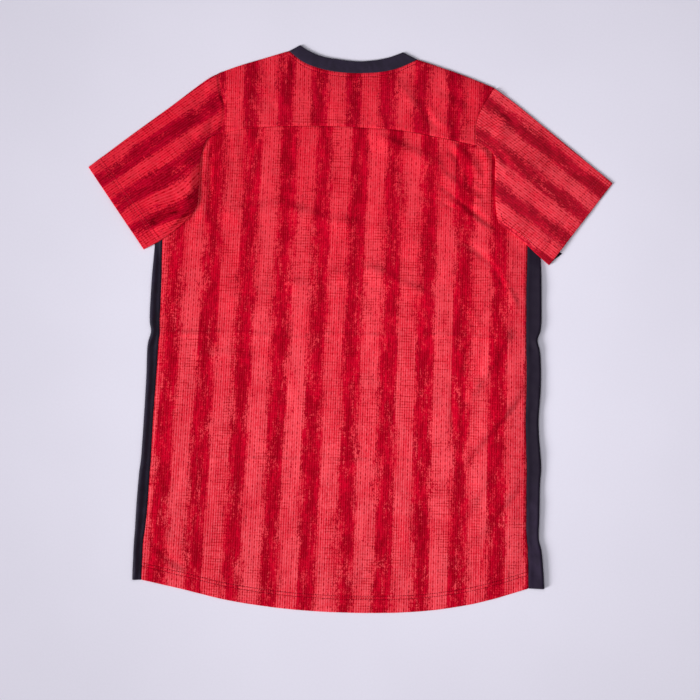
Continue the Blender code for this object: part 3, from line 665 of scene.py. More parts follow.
def row_at(grid, distances, wanted, thickness, facing=1.0):
    """The line over a grid's upper side, and its normals, at a distance from its first row."""
    normals = normals_of(grid) * facing
    surface = grid + normals * thickness / 2
    both = np.concatenate([surface, normals], axis=2)
    line = []
    for column in range(grid.shape[1]):
        far = distances[:, column]
        line.append([np.interp(wanted, far, both[:, column, axis]) for axis in range(6)])
    line = np.array(line)
    return line[:, :3], line[:, 3:]


# ---- Materials ----------------------------------------------------------------------------------


class Field:
    """A value that a material's nodes work out at each place.  Arithmetic on it adds nodes."""

    def __init__(self, nodes, socket):
        self.nodes = nodes
        self.socket = socket

    def apply(self, operation, *others):
        """What one of Blender's math operations makes of this and the others."""
        inputs = dict(enumerate((self,) + others))
        return self.nodes.make("ShaderNodeMath", 0, inputs, operation=operation)

    def __add__(self, other):
        return self.apply("ADD", other)

    def __sub__(self, other):
        return self.apply("SUBTRACT", other)

    def __mul__(self, other):
        return self.apply("MULTIPLY", other)

    def __truediv__(self, other):
        return self.apply("DIVIDE", other) if isinstance(other, Field) else self * (1 / other)

    __radd__ = __add__
    __rmul__ = __mul__

    def floor(self):
        return self.apply("FLOOR")

    def from_middle(self):
        """How far its fractional part is from a half."""
        return (self.apply("FRACT") - 0.5).apply("ABSOLUTE")

    def step(self, low, high):
        """Rises smoothly from 0 at low to 1 at high."""
        inputs = {"Value": self, "From Min": low, "From Max": high}
        return self.nodes.make("ShaderNodeMapRange", "Result", inputs, interpolation_type="SMOOTHSTEP")

    def even(self):
        """Noise stretched so that it takes each value from 0 to 1 about as often."""
        return self.step(0.3, 0.7)

    def wave(self, pitch):
        """A cosine from -1 to 1 with this pitch in millimetres."""
        return (self * (2 * math.pi / pitch)).apply("COSINE")


class Nodes:
    """A material whose nodes are added one by one."""

    def __init__(self, name, roughness, specular, sheen, sheen_tint):
        self.material = bpy.data.materials.new(name)
        self.material.use_nodes = True
        self.tree = self.material.node_tree
        self.shader = self.tree.nodes["Principled BSDF"]
        self.shader.inputs["Roughness"].default_value = roughness
        self.shader.inputs["Specular IOR Level"].default_value = specular
        self.shader.inputs["Sheen Weight"].default_value = sheen
        self.shader.inputs["Sheen Roughness"].default_value = 0.5
        self.shader.inputs["Sheen Tint"].default_value = sheen_tint
        # Where a place is on the printed cloth, in millimetres.
        place = self.make("ShaderNodeUVMap", "UV", {}, uv_map="Cloth")
        self.across = self.make("ShaderNodeSeparateXYZ", "X", {0: place}) * 1000.0
        self.along = self.make("ShaderNodeSeparateXYZ", "Y", {0: place}) * 1000.0

    def make(self, kind, output, inputs, **settings):
        """One output of a new node, whose inputs are fields or constants."""
        node = self.tree.nodes.new(kind)
        for name, value in settings.items():
            setattr(node, name, value)
        for name, value in inputs.items():
            if isinstance(value, Field):
                self.tree.links.new(value.socket, node.inputs[name])
            else:
                node.inputs[name].default_value = value
        return Field(self, node.outputs[output])

    def noise_at(self, x, y, detail=1.0):
        """Noise from 0 to 1 whose lumps are about one unit of x and y wide."""
        place = self.make("ShaderNodeCombineXYZ", 0, {"X": x, "Y": y})
        inputs = {"Vector": place, "Scale": 1.0, "Detail": detail}
        return self.make("ShaderNodeTexNoise", "Fac", inputs, noise_dimensions="2D")

    def noise(self, across, along, detail=1.0, shift=0.0):
        """Noise whose lumps are about so many millimetres across and along."""
        return self.noise_at(self.across / across + shift, self.along / along + shift * 1.7, detail)

    def lanes(self, lane, place, length, shift):
        """Noise that is the same all across each numbered lane, and changes along it."""
        return self.noise_at(lane * 7.31, place / length + shift)

    def columns(self, width, length, shift):
        """Noise in columns of this width, each unlike its neighbours."""
        return self.lanes((self.across / width).floor(), self.along, length, shift)

    def along_edge(self, edge, length, shift):
        """Noise that changes only along the stripes, and is unlike at each edge of each."""
        return self.noise_at(edge + shift, self.along / length, detail=2.0)

    def blend(self, share, first, second):
        inputs = {"Factor": share, "A": first, "B": second}
        return self.make("ShaderNodeMix", "Result", inputs, data_type="RGBA")

    def finish(self, colour, height, strength, distance):
        inputs = {"Strength": strength, "Distance": distance * MM, "Height": height}
        normal = self.make("ShaderNodeBump", "Normal", inputs)
        self.tree.links.new(normal.socket, self.shader.inputs["Normal"])
        self.tree.links.new(colour.socket, self.shader.inputs["Base Color"])
        return self.material


def linear(red, green, blue):
    """A colour given from 0 to 255, as the shader takes it."""
    values = [value / 255 for value in (red, green, blue)]
    return tuple(v / 12.92 if v <= 0.04045 else ((v + 0.055) / 1.055) ** 2.4 for v in values) + (1.0,)


def scaled(colour, factor):
    return tuple(min(value * factor, 1.0) for value in colour[:3]) + (1.0,)


BODY_STRIPES = 50.0  # from stripe to stripe on the body
SLEEVE_STRIPES = 42.3
COLUMN_PITCH = 3.15  # of the knit's columns of holes
HOLE_PITCH = 6.9  # from hole to hole in a column
ROW_PITCH = 3.77  # of the crossing rows that show in patches

CORAL = linear(229, 40, 58), linear(248, 72, 84)  # the ground between the stripes
# Painted highlight on the knit's ridges.
CORAL_RIDGE_HIGHLIGHT = linear(255, 112, 128)
# A deeper red for places that catch less sheen: painted shade.
CORAL_DEEP = linear(226, 16, 46)
# Painted shade in the knit's holes.
CORAL_HOLE_SHADE = linear(166, 0, 14)
# A greyer, paler red: painted sheen.
PAINTED_SHEEN_RED = linear(206, 112, 122)
THREAD_RED = linear(122, 0, 24)
THREAD_PALE_RED = linear(212, 40, 64)


def red_knit(name, stripe_pitch, wider=0.0, deeper=None, painted_sheen=0.0, shade=1.0):
    """Coral mesh knit with dry-brushed dark red stripes.

    Wider is added to a stripe's half width, in pitches.  Deeper says how much of a deeper red is mixed in,
    by default more of it up the body; the next argument says how much of a greyer, paler red is mixed in,
    and shade how bright the paint's red is.  These are painted light: the deeper and darker reds are
    painted shade where a piece catches less light and sheen, and the greyer, paler red is painted sheen.
    """
    m = Nodes(name, roughness=0.85, specular=0.006, sheen=0.009, sheen_tint=linear(255, 70, 85))
    # Brush marks, which keep to the knit's wales: short ones, long ones, hairs and loose flecks.
    wale = (m.across / COLUMN_PITCH + 0.5).floor()
    short = m.lanes(wale, m.along, 5.0, 3.3).even()
    long = m.lanes(wale, m.along, 34.0, 58.1).even()
    hairs = m.columns(COLUMN_PITCH / 2, 5.0, 13.3).even()
    flecks = m.noise(1.2, 1.9, shift=1.9).even()
    marks = short * 0.34 + long * 0.36 + hairs * 0.50 + flecks * 0.62 - 0.91
    # How far from the middle of the nearest stripe, in pitches, and which of its two edges is near.
    sway = (m.noise(200, 240, shift=3.1) - 0.5) * 0.05
    pitches = m.across * (0.35 / stripe_pitch) + wale * (0.65 * COLUMN_PITCH / stripe_pitch) + sway
    stripe = pitches.apply("ROUND")
    signed = pitches - stripe
    distance = signed.apply("ABSOLUTE")
    edge = stripe * 5.3 + signed.apply("SIGN") * 1.37
    half_width = (0.185 + wider) + m.along_edge(edge, 110.0, 0.0) * 0.12
    softness = 0.03 + m.along_edge(edge, 90.0, 40.0).even() * 0.40
    profile = 0.5 + (half_width - distance) / softness
    profile = profile.apply("MINIMUM", 1.0).apply("MAXIMUM", 0.0)
    # Where the brush ran dry, and where it touched the ground between the stripes.
    dry = m.noise(12, 50, detail=2.0, shift=23.0).step(0.46, 0.70)
    stray = m.noise(12, 40, detail=2.0, shift=41.0).step(0.44, 0.70)
    marks = marks * (0.62 + profile * 0.10 + dry * 0.45 + stray * 0.30)
    painted = (profile + marks - dry * 0.26 + stray * 0.20).step(0.20, 0.84)
    # Twice-brushed places.
    smears = m.lanes(wale, m.along, 16.0, 91.7).even()
    pools = m.noise(14, 50, detail=2.0, shift=31.0).even()
    depth = pools * 0.38 + smears * 0.34 + hairs * 0.24 + flecks * 0.30 - distance * 0.9 - 0.04
    depth = depth.step(0.06, 0.84)
    # The knit: broken columns of holes, and crossing rows in long patches.
    columns = m.across / COLUMN_PITCH
    odd = columns.floor().apply("FLOORED_MODULO", 2.0)
    in_column = columns.from_middle()
    jitter = m.columns(COLUMN_PITCH, 16.0, 27.0) * 1.6
    in_hole = (m.along / HOLE_PITCH + odd * 0.5 + jitter).from_middle()
    uneven = m.columns(COLUMN_PITCH, 6.0, 5.1).even()
    faint = 0.16 + m.noise(40, 60, shift=19.0).step(0.35, 0.65) * 0.30
    worn = odd * 0.26 + uneven * (faint + odd * 0.74)
    holes = odd * 0.06 + 0.10 + in_hole.step(0.50, 0.06) * worn
    holes = in_column.step(0.42, 0.02) * holes
    level = m.along / ROW_PITCH + m.noise(60, 30, shift=91.0) * 0.8
    run = m.lanes(level.floor(), m.across, 26.0, 6.6).step(0.38, 0.68)
    patch = m.noise(30, 150, shift=57.0).step(0.40, 0.62)
    strength = 0.10 + run * 0.26 + run * patch * 0.80 + patch * 0.26
    beaded = 0.42 + in_column.step(0.50, 0.06) * 0.58
    rows = level.from_middle().step(0.38, 0.02) * strength * beaded * (0.60 + flecks * 0.5)
    open_knit = holes.apply("MAXIMUM", rows).apply("MINIMUM", 1.0)
    # Where the knit's ridges catch a painted highlight.
    ridge_highlight = (in_column + flecks * 0.14).step(0.30, 0.58)
    # The colours.
    tone = m.noise(50, 80, detail=2.0, shift=71.0) * 0.5 + m.noise(12, 26, shift=47.0) * 0.4
    ground = m.blend((tone + short * 0.10).step(0.34, 0.64), *CORAL)
    # Painted highlights on the ridges of the ground.
    ground = m.blend(ridge_highlight * (0.26 + short * 0.42 + hairs * 0.34), ground, CORAL_RIDGE_HIGHLIGHT)
    # By default the red deepens up the body and is pinker towards the hem: painted sheen where the low
    # light grazes the lower part.
    if deeper is None:
        deeper = m.along.step(-260.0, 330.0) * 0.5
    ground = m.blend(deeper, ground, CORAL_DEEP)
    # Painted shade in the holes and along the crossing rows of the knit.
    ground = m.blend(open_knit * 0.88, ground, CORAL_HOLE_SHADE)
    paint = m.blend(depth, linear(210 * shade, 4, 40), linear(154 * shade, 0, 22))
    # Painted highlights on the ridges of the painted stripes.
    paint = m.blend(ridge_highlight * (0.10 + hairs * 0.26), paint, linear(236 * shade, 34, 74))
    # And painted shade in the holes of the painted stripes.
    paint = m.blend(open_knit * 0.55, paint, linear(132, 0, 6))
    # A greyer, paler red mixed over all: painted sheen.
    colour = m.blend(painted_sheen, m.blend(painted, ground, paint), PAINTED_SHEEN_RED)
    height = m.noise(0.9, 0.9, shift=83.0) * 0.3 - open_knit
    return m.finish(colour, height, strength=0.3, distance=0.25)


def dark_knit(name, roughness, sheen, colour, rib_pitch, rib_depth, specular=0.2, painted_shade_above=None):
    """Plain dark knit with fine ribs along it, and, when its last argument is given, darker further up by
    that factor: painted shade.
    """
    m = Nodes(name, roughness, specular, sheen, sheen_tint=linear(185, 168, 210))
    rib = m.across.wave(rib_pitch)
    grain = m.noise(0.7, 0.9, shift=17.0)
    # Mottled at random, and a little lighter on the ribs than between them, which is painted shade.
    share = m.noise(9, 16, detail=2.0, shift=5.0) * 0.7 + rib * 0.14 + grain * 0.2
    shade = m.blend(share.step(0.2, 0.8), scaled(colour, 0.72), scaled(colour, 1.35))
    # Painted shade: darker further up the panel.
    if painted_shade_above is not None:
        shade = m.blend(m.along.step(-290.0, -170.0) * 0.9, shade, scaled(colour, painted_shade_above))
    return m.finish(shade, rib * rib_depth + grain * 0.4, strength=0.5, distance=0.2)


def thread(name, colour):
    """Twisted sewing thread."""
    m = Nodes(name, roughness=0.8, specular=0.02, sheen=0.0, sheen_tint=linear(255, 200, 200))
    twist = (m.across + m.along).wave(0.6)
    # Darker in the grooves of the twist: painted shade.
    shade = m.blend(twist.step(-1.0, 1.0), scaled(colour, 0.6), colour)
    return m.finish(shade, twist, strength=0.3, distance=0.05)


def floor_paper():
    """Matt pale paper, very slightly mottled."""
    m = Nodes("floor_paper", roughness=0.95, specular=0.1, sheen=0.0, sheen_tint=(1.0, 1.0, 1.0, 1.0))
    grain = m.noise(3.0, 3.0, detail=3.0)
    tone = grain * 0.3 + m.noise(260, 260, detail=2.0, shift=4.0) * 0.7
    shade = m.blend(tone.step(0.2, 0.8), linear(228, 225, 240), linear(233, 230, 245))
    return m.finish(shade, grain, strength=0.05, distance=0.1)


# ---- Body ---------------------------------------------------------------------------------------

NECK_HALF_WIDTH = 88.0
# Rough sizes of the pieces, which the steps of their grids go by.
BACK_ARMHOLE_LENGTH = 150.0
FRONT_ARMHOLE_LENGTH = 225.0
BACK_WIDTH = 533.0
YOKE_HEIGHT = 84.0
SIDE_PANEL_LENGTH = 490.0


def body_stripes(grid, shift):
    """The places on the printed cloth of points of the body, whose stripes fan out downwards."""
    x, y = grid[:, :, 0], grid[:, :, 1]
    pitch = BODY_STRIPES - 0.0055 * y  # from stripe to stripe at this level
    middle = 11.3 + 0.0139 * (y - 200.0)  # of the stripe at the centre, which leans a little
    return np.stack([(x - middle) / pitch * BODY_STRIPES + shift, y + 7 * shift], 2)


def panel_rows(length, step, *fine_places):
    """Lengths up the side of a body panel, one of them at the corner between seam and armhole."""
    places = steps(length, step, *fine_places)
    places[np.abs(places - SEAM_LENGTH).argmin()] = SEAM_LENGTH
    return places


def panel_sides(armholes, places):
    """The left and right side of a body panel: the side seam, then the armhole."""
    seam_shares = places[places <= SEAM_LENGTH] / SEAM_LENGTH
    armhole_shares = (places[places >= SEAM_LENGTH] - SEAM_LENGTH) / (places[-1] - SEAM_LENGTH)
    lines = []
    for side in SIDES:
        seam = at_shares(smooth_line(SEAMS[side], 400), seam_shares)
        armhole = at_shares(smooth_line(armholes[side], 200), armhole_shares)
        lines.append(np.vstack([seam[:-1], armhole]))
    return lines


def back_slack(x, y):
    """How free the back is to stand off the front: 1 in the middle, 0 at its edges."""
    outlines = {}
    for side in SIDES:
        outlines[side] = np.vstack([SEAMS[side][:-1], SLEEVE_LAPS[side][::-1], YOKE_ARMHOLES[side][1:]])
    left, right = (np.interp(y, outlines[side][:, 1], outlines[side][:, 0]) for side in SIDES)
    hem = np.array(BACK_HEM, float)
    from_hem = y - np.interp(x, hem[:, 0], hem[:, 1])
    # The level of the neckband's edge, and of the shoulders beside it.
    out = np.abs(x)
    top = np.where(out < NECK_HALF_WIDTH, 350 + 0.05 * out, 382 - 0.36 * (out - NECK_HALF_WIDTH))
    at_side, at_hem, at_top = 30, 44, 26
    sides = ramp((x - left + 4) / at_side) * ramp((right - x + 4) / at_side)
    return sides * ramp((from_hem + 6) / at_hem) * ramp((top - y + 2) / at_top)


def back_height(x, y, creases):
    """The height of the middle of the cloth, for the back panel and the yoke alike."""
    slack = back_slack(x, y)
    folds = relief(x, y, creases)
    waves = 0.30 * unevenness(x, y, 46.0, 5) + 0.11 * unevenness(x, y, 17.0, 6)
    free = slack * (BACK_LOFT + waves) + folds * (0.40 + 0.60 * slack)
    return UPPER + at_least(free, 0.05)


def seam_edge(distance):
    """The height beside a seam: the cloth rolls down to it from the ridge of the turning inside."""
    return -0.75 * bell(distance, 1.4) + 0.26 * bell(distance - 4.0, 2.2)


def hem_thickness(distance):
    return HEMMED + (CLOTH - HEMMED) * ramp((distance - HEM_DEPTH + 1.0) / 2.0)


def hem_relief(distance, place, seed):
    """The stitched-down rows of a hem, and its slight waviness between them and the edge."""
    rows = sum(bell(distance - row, 1.2) for row in HEM_ROWS)
    waves = unevenness(place, 0 * place, 26.0, seed) * bell(distance, 11.0)
    return -0.5 * rows + 0.3 * waves + 0.3 * bell(distance - 8.0, 5.0)


def back_panel(material):
    length = SEAM_LENGTH + BACK_ARMHOLE_LENGTH
    places = panel_rows(
        length,
        3.5,
        Fine(0, 1.2, 5),  # the edge
        Fine(19.5, 1.0, 6.0),  # the stitches
        Fine(44, 2.0, 6),
        Fine(172, 1.7, 9),  # the storage folds
        Fine(344, 1.6, 9),
        Fine(412, 2.4, 14),
        Fine(545, 2.3, 70),  # the folds at the underarms
        Fine(length, 1.1, 6),  # the yoke seam
    )
    left, right = panel_sides(BACK_ARMHOLES, places)
    columns = steps(BACK_WIDTH, 3.1, Fine(0, 0.9, 5), Fine(BACK_WIDTH, 0.9, 5), Fine(470, 2.4, 60))
    columns /= BACK_WIDTH
    bottom = by_width(smooth_line(BACK_HEM), columns)
    top = by_width(smooth_line(YOKE_SEAM), columns)
    grid = fill(bottom, top, left, right, ramp(1 - places / 150), ramp((places - 520) / (length - 520)))
    from_hem, from_yoke, from_left, from_right = from_edges(grid)
    grid = drawn_in(grid)
    x, y = grid[:, :, 0], grid[:, :, 1]
    height = back_height(x, y, BACK_CREASES)
    height += seam_edge(from_yoke) + 0.5 * seam_edge(from_left) + seam_edge(from_right)
    height += hem_relief(from_hem, x, 21)
    # Below the front's hem it comes down to the ground.
    front_hem = by_width(smooth_line(FRONT_HEM), np.linspace(0, 1, 60))
    beyond = np.interp(x, front_hem[:, 0], front_hem[:, 1]) - y
    height -= 0.75 * ramp((beyond + 4) / 16)
    thickness = hem_thickness(from_hem)
    grid = with_height(grid, at_least(height, thickness / 2 + 0.1, 0.1))
    piece = shell("back_panel_cloth", grid, thickness, body_stripes(grid, 0.0), material)
    return piece, [row_at(grid, from_hem, row, HEMMED) for row in HEM_ROWS]


def back_yoke(material):
    left_end, right_end = SHOULDERS["left"][0][0], SHOULDERS["right"][0][0]
    neck_left, neck_right = (
        (SHOULDERS[side][-1][0] - left_end) / (right_end - left_end) for side in SIDES
    )
    shoulder_left = steps(1.0, 0.033, Fine(0, 0.011, 0.05)) * neck_left
    neck = neck_left + (neck_right - neck_left) * steps(1.0, 0.0165)
    shoulder_right = 1 - (1 - neck_right) * steps(1.0, 0.028, Fine(0, 0.010, 0.05))[::-1]
    columns = np.concatenate([shoulder_left[:-1], neck[:-1], shoulder_right])
    outline = [smooth_line(SHOULDERS["left"])[:-1], smooth_line(BACK_NECK["outside"])[:-1]]
    outline.append(smooth_line(SHOULDERS["right"])[::-1])
    top = by_width(np.vstack(outline), columns)
    bottom = by_width(smooth_line(YOKE_SEAM), columns)
    rows = steps(YOKE_HEIGHT, 2.6, Fine(0, 1.0, 6), Fine(YOKE_HEIGHT, 1.0, 9)) / YOKE_HEIGHT
    left, right = (at_shares(smooth_line(YOKE_ARMHOLES[side]), rows) for side in SIDES)
    left[0], right[0], left[-1], right[-1] = bottom[0], bottom[-1], top[0], top[-1]
    grid = drawn_in(fill(bottom, top, left, right, 1 - rows, rows))
    from_seam, from_top, from_left, from_right = from_edges(grid)
    x, y = grid[:, :, 0], grid[:, :, 1]
    height = back_height(x, y, BACK_CREASES + YOKE_CREASES)
    at_neck = ramp((100 - np.abs(x)) / 10)
    height += seam_edge(from_seam) + 0.3 * seam_edge(from_left) + seam_edge(from_right)
    height += at_neck * (seam_edge(from_top) - 0.25 * bell(from_top - NECK_ROW, 1.0))
    # The front of the shirt turns over the shoulders.
    height -= (1 - at_neck) * 0.5 * bell(from_top, 1.6)
    grid = with_height(grid, height)
    # Its stripes don't line up with those of the panel below.
    pattern = np.stack([(x + 45.0) / 46.8 * BODY_STRIPES + 10 * BODY_STRIPES, y + 900.0], 2)
    piece = shell("back_yoke_cloth", grid, CLOTH, pattern, material)
    line, ups = row_at(grid[::-1], from_top[::-1], NECK_ROW, CLOTH, facing=-1.0)
    at_neck = np.abs(line[:, 0]) < 90
    return piece, [(line[at_neck], ups[at_neck])]


def front_panel(material):
    ends = BACK_NECK["outside"][0], BACK_NECK["outside"][-1]
    neck = half_ellipse(FRONT_NECK_DEPTH["outside"], ends, 44)
    left_shoulder, right_shoulder = (
        at_shares(smooth_line(SHOULDERS[side]), np.linspace(0, 1, 19)) for side in SIDES
    )
    top = np.vstack([left_shoulder[:-1], neck, right_shoulder[-2::-1]])
    bottom = by_width(smooth_line(FRONT_HEM), np.linspace(0, 1, len(top)))
    length = SEAM_LENGTH + FRONT_ARMHOLE_LENGTH
    places = panel_rows(length, 7.0, Fine(0, 1.5, 5), Fine(14.5, 1.3, 4.5))
    left, right = panel_sides(FRONT_ARMHOLES, places)
    grid = fill(bottom, top, left, right, ramp(1 - places / 120), ramp((places - 380) / (length - 380)))
    from_hem = from_edges(grid)[0]
    grid = drawn_in(grid)
    x, y = grid[:, :, 0], grid[:, :, 1]
    thickness = hem_thickness(from_hem) * 0.8
    waves = 0.08 * ramp(from_hem / 30) * (1 + unevenness(x, y, 50.0, 9)) / 2
    grid = with_height(grid, thickness / 2 + 0.14 + waves)
    return shell("front_panel_cloth", grid, thickness, body_stripes(grid, 1000.0), material)


def side_panel(side, material):
    """A strip that starts at the front seam, turns over at the side and ends at the back seam."""
    inwards = 1.0 if side == "left" else -1.0
    fine = Fine(0, 1.2 / SIDE_PANEL_LENGTH, 0.012), Fine(0.029, 1.0 / SIDE_PANEL_LENGTH, 0.01)
    rows = steps(1.0, 3.0 / SIDE_PANEL_LENGTH, *fine)
    seam = at_shares(smooth_line(SEAMS[side], 400), rows)
    fold = at_shares(smooth_line(FOLDS[side], 400), rows)
    seam[:, 0] -= inwards * SEAM
    # How high the fold stands: less at both ends, and a little uneven.
    under_sleeve = ramp((rows - 0.86) / 0.12)
    stands = PANEL_FOLD * (1 - under_sleeve) + UPPER * under_sleeve
    stands = stands - 1.2 * ramp(1 - rows / 0.05)
    stands = stands + 0.35 * np.sin(rows * 37.0) + 0.25 * np.sin(rows * 83.0 + 1.0)
    radius = (stands - LOWER) / 2
    lines, level = [], []
    flat = np.concatenate([np.linspace(0, 0.85, 5), 1 - 0.12 * np.linspace(1, 0, 3) ** 2])
    for share in flat[:-1]:
        lines.append(seam + (fold + (inwards * CLOTH / 2, 0) - seam) * share)
        level.append(np.full(len(rows), LOWER))
    for angle in np.linspace(-0.5, 0.5, 11) * math.pi:
        depth = (1.5 + 0.5 * radius) * (1 - math.cos(angle)) + CLOTH / 2
        lines.append(fold + np.stack([inwards * depth, 0 * depth], 1))
        level.append(LOWER + radius + radius * math.sin(angle))
    last = lines[-1]
    for share in np.concatenate([np.linspace(1, 0.15, 16)[1:], [0.10, 0.05, 0.0]]):
        lines.append(seam + (last - seam) * share)
        if side == "left":
            down = (stands - UPPER) * ramp((share - 0.30) / 0.70)
            down = down + 0.7 * math.sin(math.pi * min(share / 0.55, 1.0))
        else:
            down = (stands - UPPER) * share**1.9
        level.append(UPPER + down)
    grid = np.stack(lines, 1)
    height = np.stack(level, 1)
    from_hem, _, _, from_back_seam = from_edges(grid)
    x, y = grid[:, :, 0], grid[:, :, 1]
    on_top = ramp((np.arange(grid.shape[1]) - len(flat) - 6) / 6.0)[None, :]
    crumple = relief(x, y, SIDE_PANEL_CREASES) + 0.22 * unevenness(x, y, 24.0, 31)
    height += on_top * (crumple + seam_edge(from_back_seam) + hem_relief(from_hem, x, 33) * 0.7)
    thickness = hem_thickness(from_hem) * 0.9
    grid = with_height(grid, np.maximum(height, thickness / 2 + CLEARANCE))
    if side == "right":
        grid, thickness = grid[:, ::-1], thickness[:, ::-1]
    pattern = np.stack([from_edges(grid)[2], grid[:, :, 1]], 2)
    return shell(f"side_panel_{side}_cloth", grid, thickness, pattern, material)


# ---- Neckband -----------------------------------------------------------------------------------


def neckband(material):
    """A ring: round the back of the neck, over one fold, round the front and over the other."""
    low, high = BAND / 2 + 0.12, NECKBAND_TOP
    cells = 110
    lines = {}
    for edge, back in BACK_NECK.items():
        front_line = half_ellipse(FRONT_NECK_DEPTH[edge], (back[0], back[-1]), cells)[::-1]
        lines[edge], heights = folded_loop(smooth_line(back, cells), front_line, low, high)
    across = np.array([0.0, 0.06, 0.16, 0.3, 0.5, 0.7, 0.84, 0.94, 1.0])[None, :, None]
    inside, outside = lines["inside"][:, None], lines["outside"][:, None]
    outside = outside + unit(inside - outside) * (SEAM + 0.1)
    grid = inside + (outside - inside) * across
    # It is rounded across its width, and less so underneath.
    crown = 0.22 * np.sin(math.pi * across[:, :, 0])
    height = heights[:, None] + np.where(heights > (low + high) / 2, 1.0, -0.3)[:, None] * crown
    grid = with_height(grid, height)[:, ::-1]
    lengths = along(grid[:, 4])
    pattern = np.stack(np.broadcast_arrays(lengths[:, None], BAND_WIDTH * across[:, ::-1, 0]), 2)
    return shell("neckband_cloth", grid, BAND, pattern, material, ring=True)


def folded_loop(back_line, front_line, low, high):
    """The closed line over both necklines, with its heights, drawn in where it turns over."""
    reach = 2.2  # from the corner to where the turn starts
    back, front = (
        at_lengths(line, np.linspace(reach, along(line)[-1] - reach, len(line)))
        for line in (back_line, front_line)
    )
    turn = np.linspace(0.5, -0.5, 11)[1:-1] * math.pi
    shares = (1 - np.sin(turn)) / 2
    rounds = []
    for start, end, corner in ((back[-1], front[0], back_line[-1]), (front[-1], back[0], back_line[0])):
        out = corner - (start + end) / 2
        out = out * (1 - 0.35 / np.linalg.norm(out))
        rounds.append(start + (end - start) * shares[:, None] + np.cos(turn)[:, None] * out)
    down = (low + high) / 2 + (high - low) / 2 * np.sin(turn)
    line = np.vstack([back, rounds[0], front, rounds[1]])
    heights = np.concatenate([np.full(len(back), high), down, np.full(len(front), low), down[::-1]])
    return line, heights


# ---- Sleeves ------------------------------------------------------------------------------------

BODY_MIDDLE = np.array([0.0, -100.0])
UNDER_ROWS = 34  # rows of a sleeve's grid on its underside
TURN_ROWS = 7  # and round the fold along its top
FIRST_STRIPE = {"left": 31.0, "right": 22.0}  # from the shoulder to the middle of the first stripe
CLOTH_PLACE = {"left": 40.0, "right": 60.0}  # where on the printed cloth, in stripes, it is cut


def strip_corners(side):
    """The underarm strip's corners: upper and lower at the cuff, then high and low beside the body."""
    outwards = -1.0 if side == "left" else 1.0
    upper, lower = np.array(STRIP_AT_CUFF[side], float)
    levels = np.array(STRIP_LEVELS[side], float)
    beside_body = np.interp(levels, FOLDS[side][:, 1], FOLDS[side][:, 0]) + outwards * SEAM
    high, low = np.stack([beside_body, levels], 1)
    return upper, lower, high, low


def underarm_strip(side, material):
    upper, lower, high, low = strip_corners(side)
    over, up = np.linspace(0, 1, 16)[:, None], np.linspace(0, 1, 12)
    at_cuff = at_shares(np.stack([lower, upper]), up)
    at_body = at_shares(np.stack([low, high]), up)
    bottom, top = lower + (low - lower) * over, upper + (high - upper) * over
    grid = drawn_in(fill(bottom, top, at_cuff, at_body, 1 - up, up))
    grid = with_height(grid, np.full(grid.shape[:2], LOWER))
    if side == "right":
        grid = grid[:, ::-1]
    return shell(f"underarm_strip_{side}_cloth", grid, CLOTH, grid[:, :, :2], material)


# The lines of a sleeve from the shoulder to the cuff, at these shares of its length: the fold along
# the top, the edge of the underside and the edge of the upper half, which is first the seam with the
# yoke, then laps over the body as far as the corner, and then runs free to the cuff.
Outline = namedtuple("Outline", "length shares top under over seam_share corner_share up_the_cuff")


def sleeve_outline(side):
    top = smooth_line(SLEEVE_TOPS[side])
    cuff_bottom = np.array(SLEEVE_LOWER_EDGES[side][-1], float)
    up_the_cuff = unit(top[-1] - cuff_bottom)
    strip_end = cuff_bottom + up_the_cuff * ((strip_corners(side)[0] - cuff_bottom) @ up_the_cuff)
    under = np.vstack([smooth_line(FRONT_ARMHOLES[side])[::-1], FOLDS[side][-1:], [strip_end]])
    yoke_part = smooth_line(YOKE_ARMHOLES[side])[::-1]
    over = np.vstack([yoke_part, smooth_line(SLEEVE_LAPS[side] + SLEEVE_LOWER_EDGES[side][1:])[1:]])
    seam_share = along(yoke_part)[-1] / along(over)[-1]
    corner_share = seam_share + along(smooth_line(SLEEVE_LAPS[side]))[-1] / along(over)[-1]
    length = along(top)[-1]
    fine = Fine(0, 1.2, 10), Fine(0.72 * length, 1.7, 45), Fine(length - 13, 1.0, 6), Fine(length, 1.0, 4)
    shares = (steps(length - 1.0, 2.5, *fine) + 1.0) / length
    lines = (at_shares(line, shares) for line in (top, under, over))
    return Outline(length, shares, *lines, seam_share, corner_share, up_the_cuff)


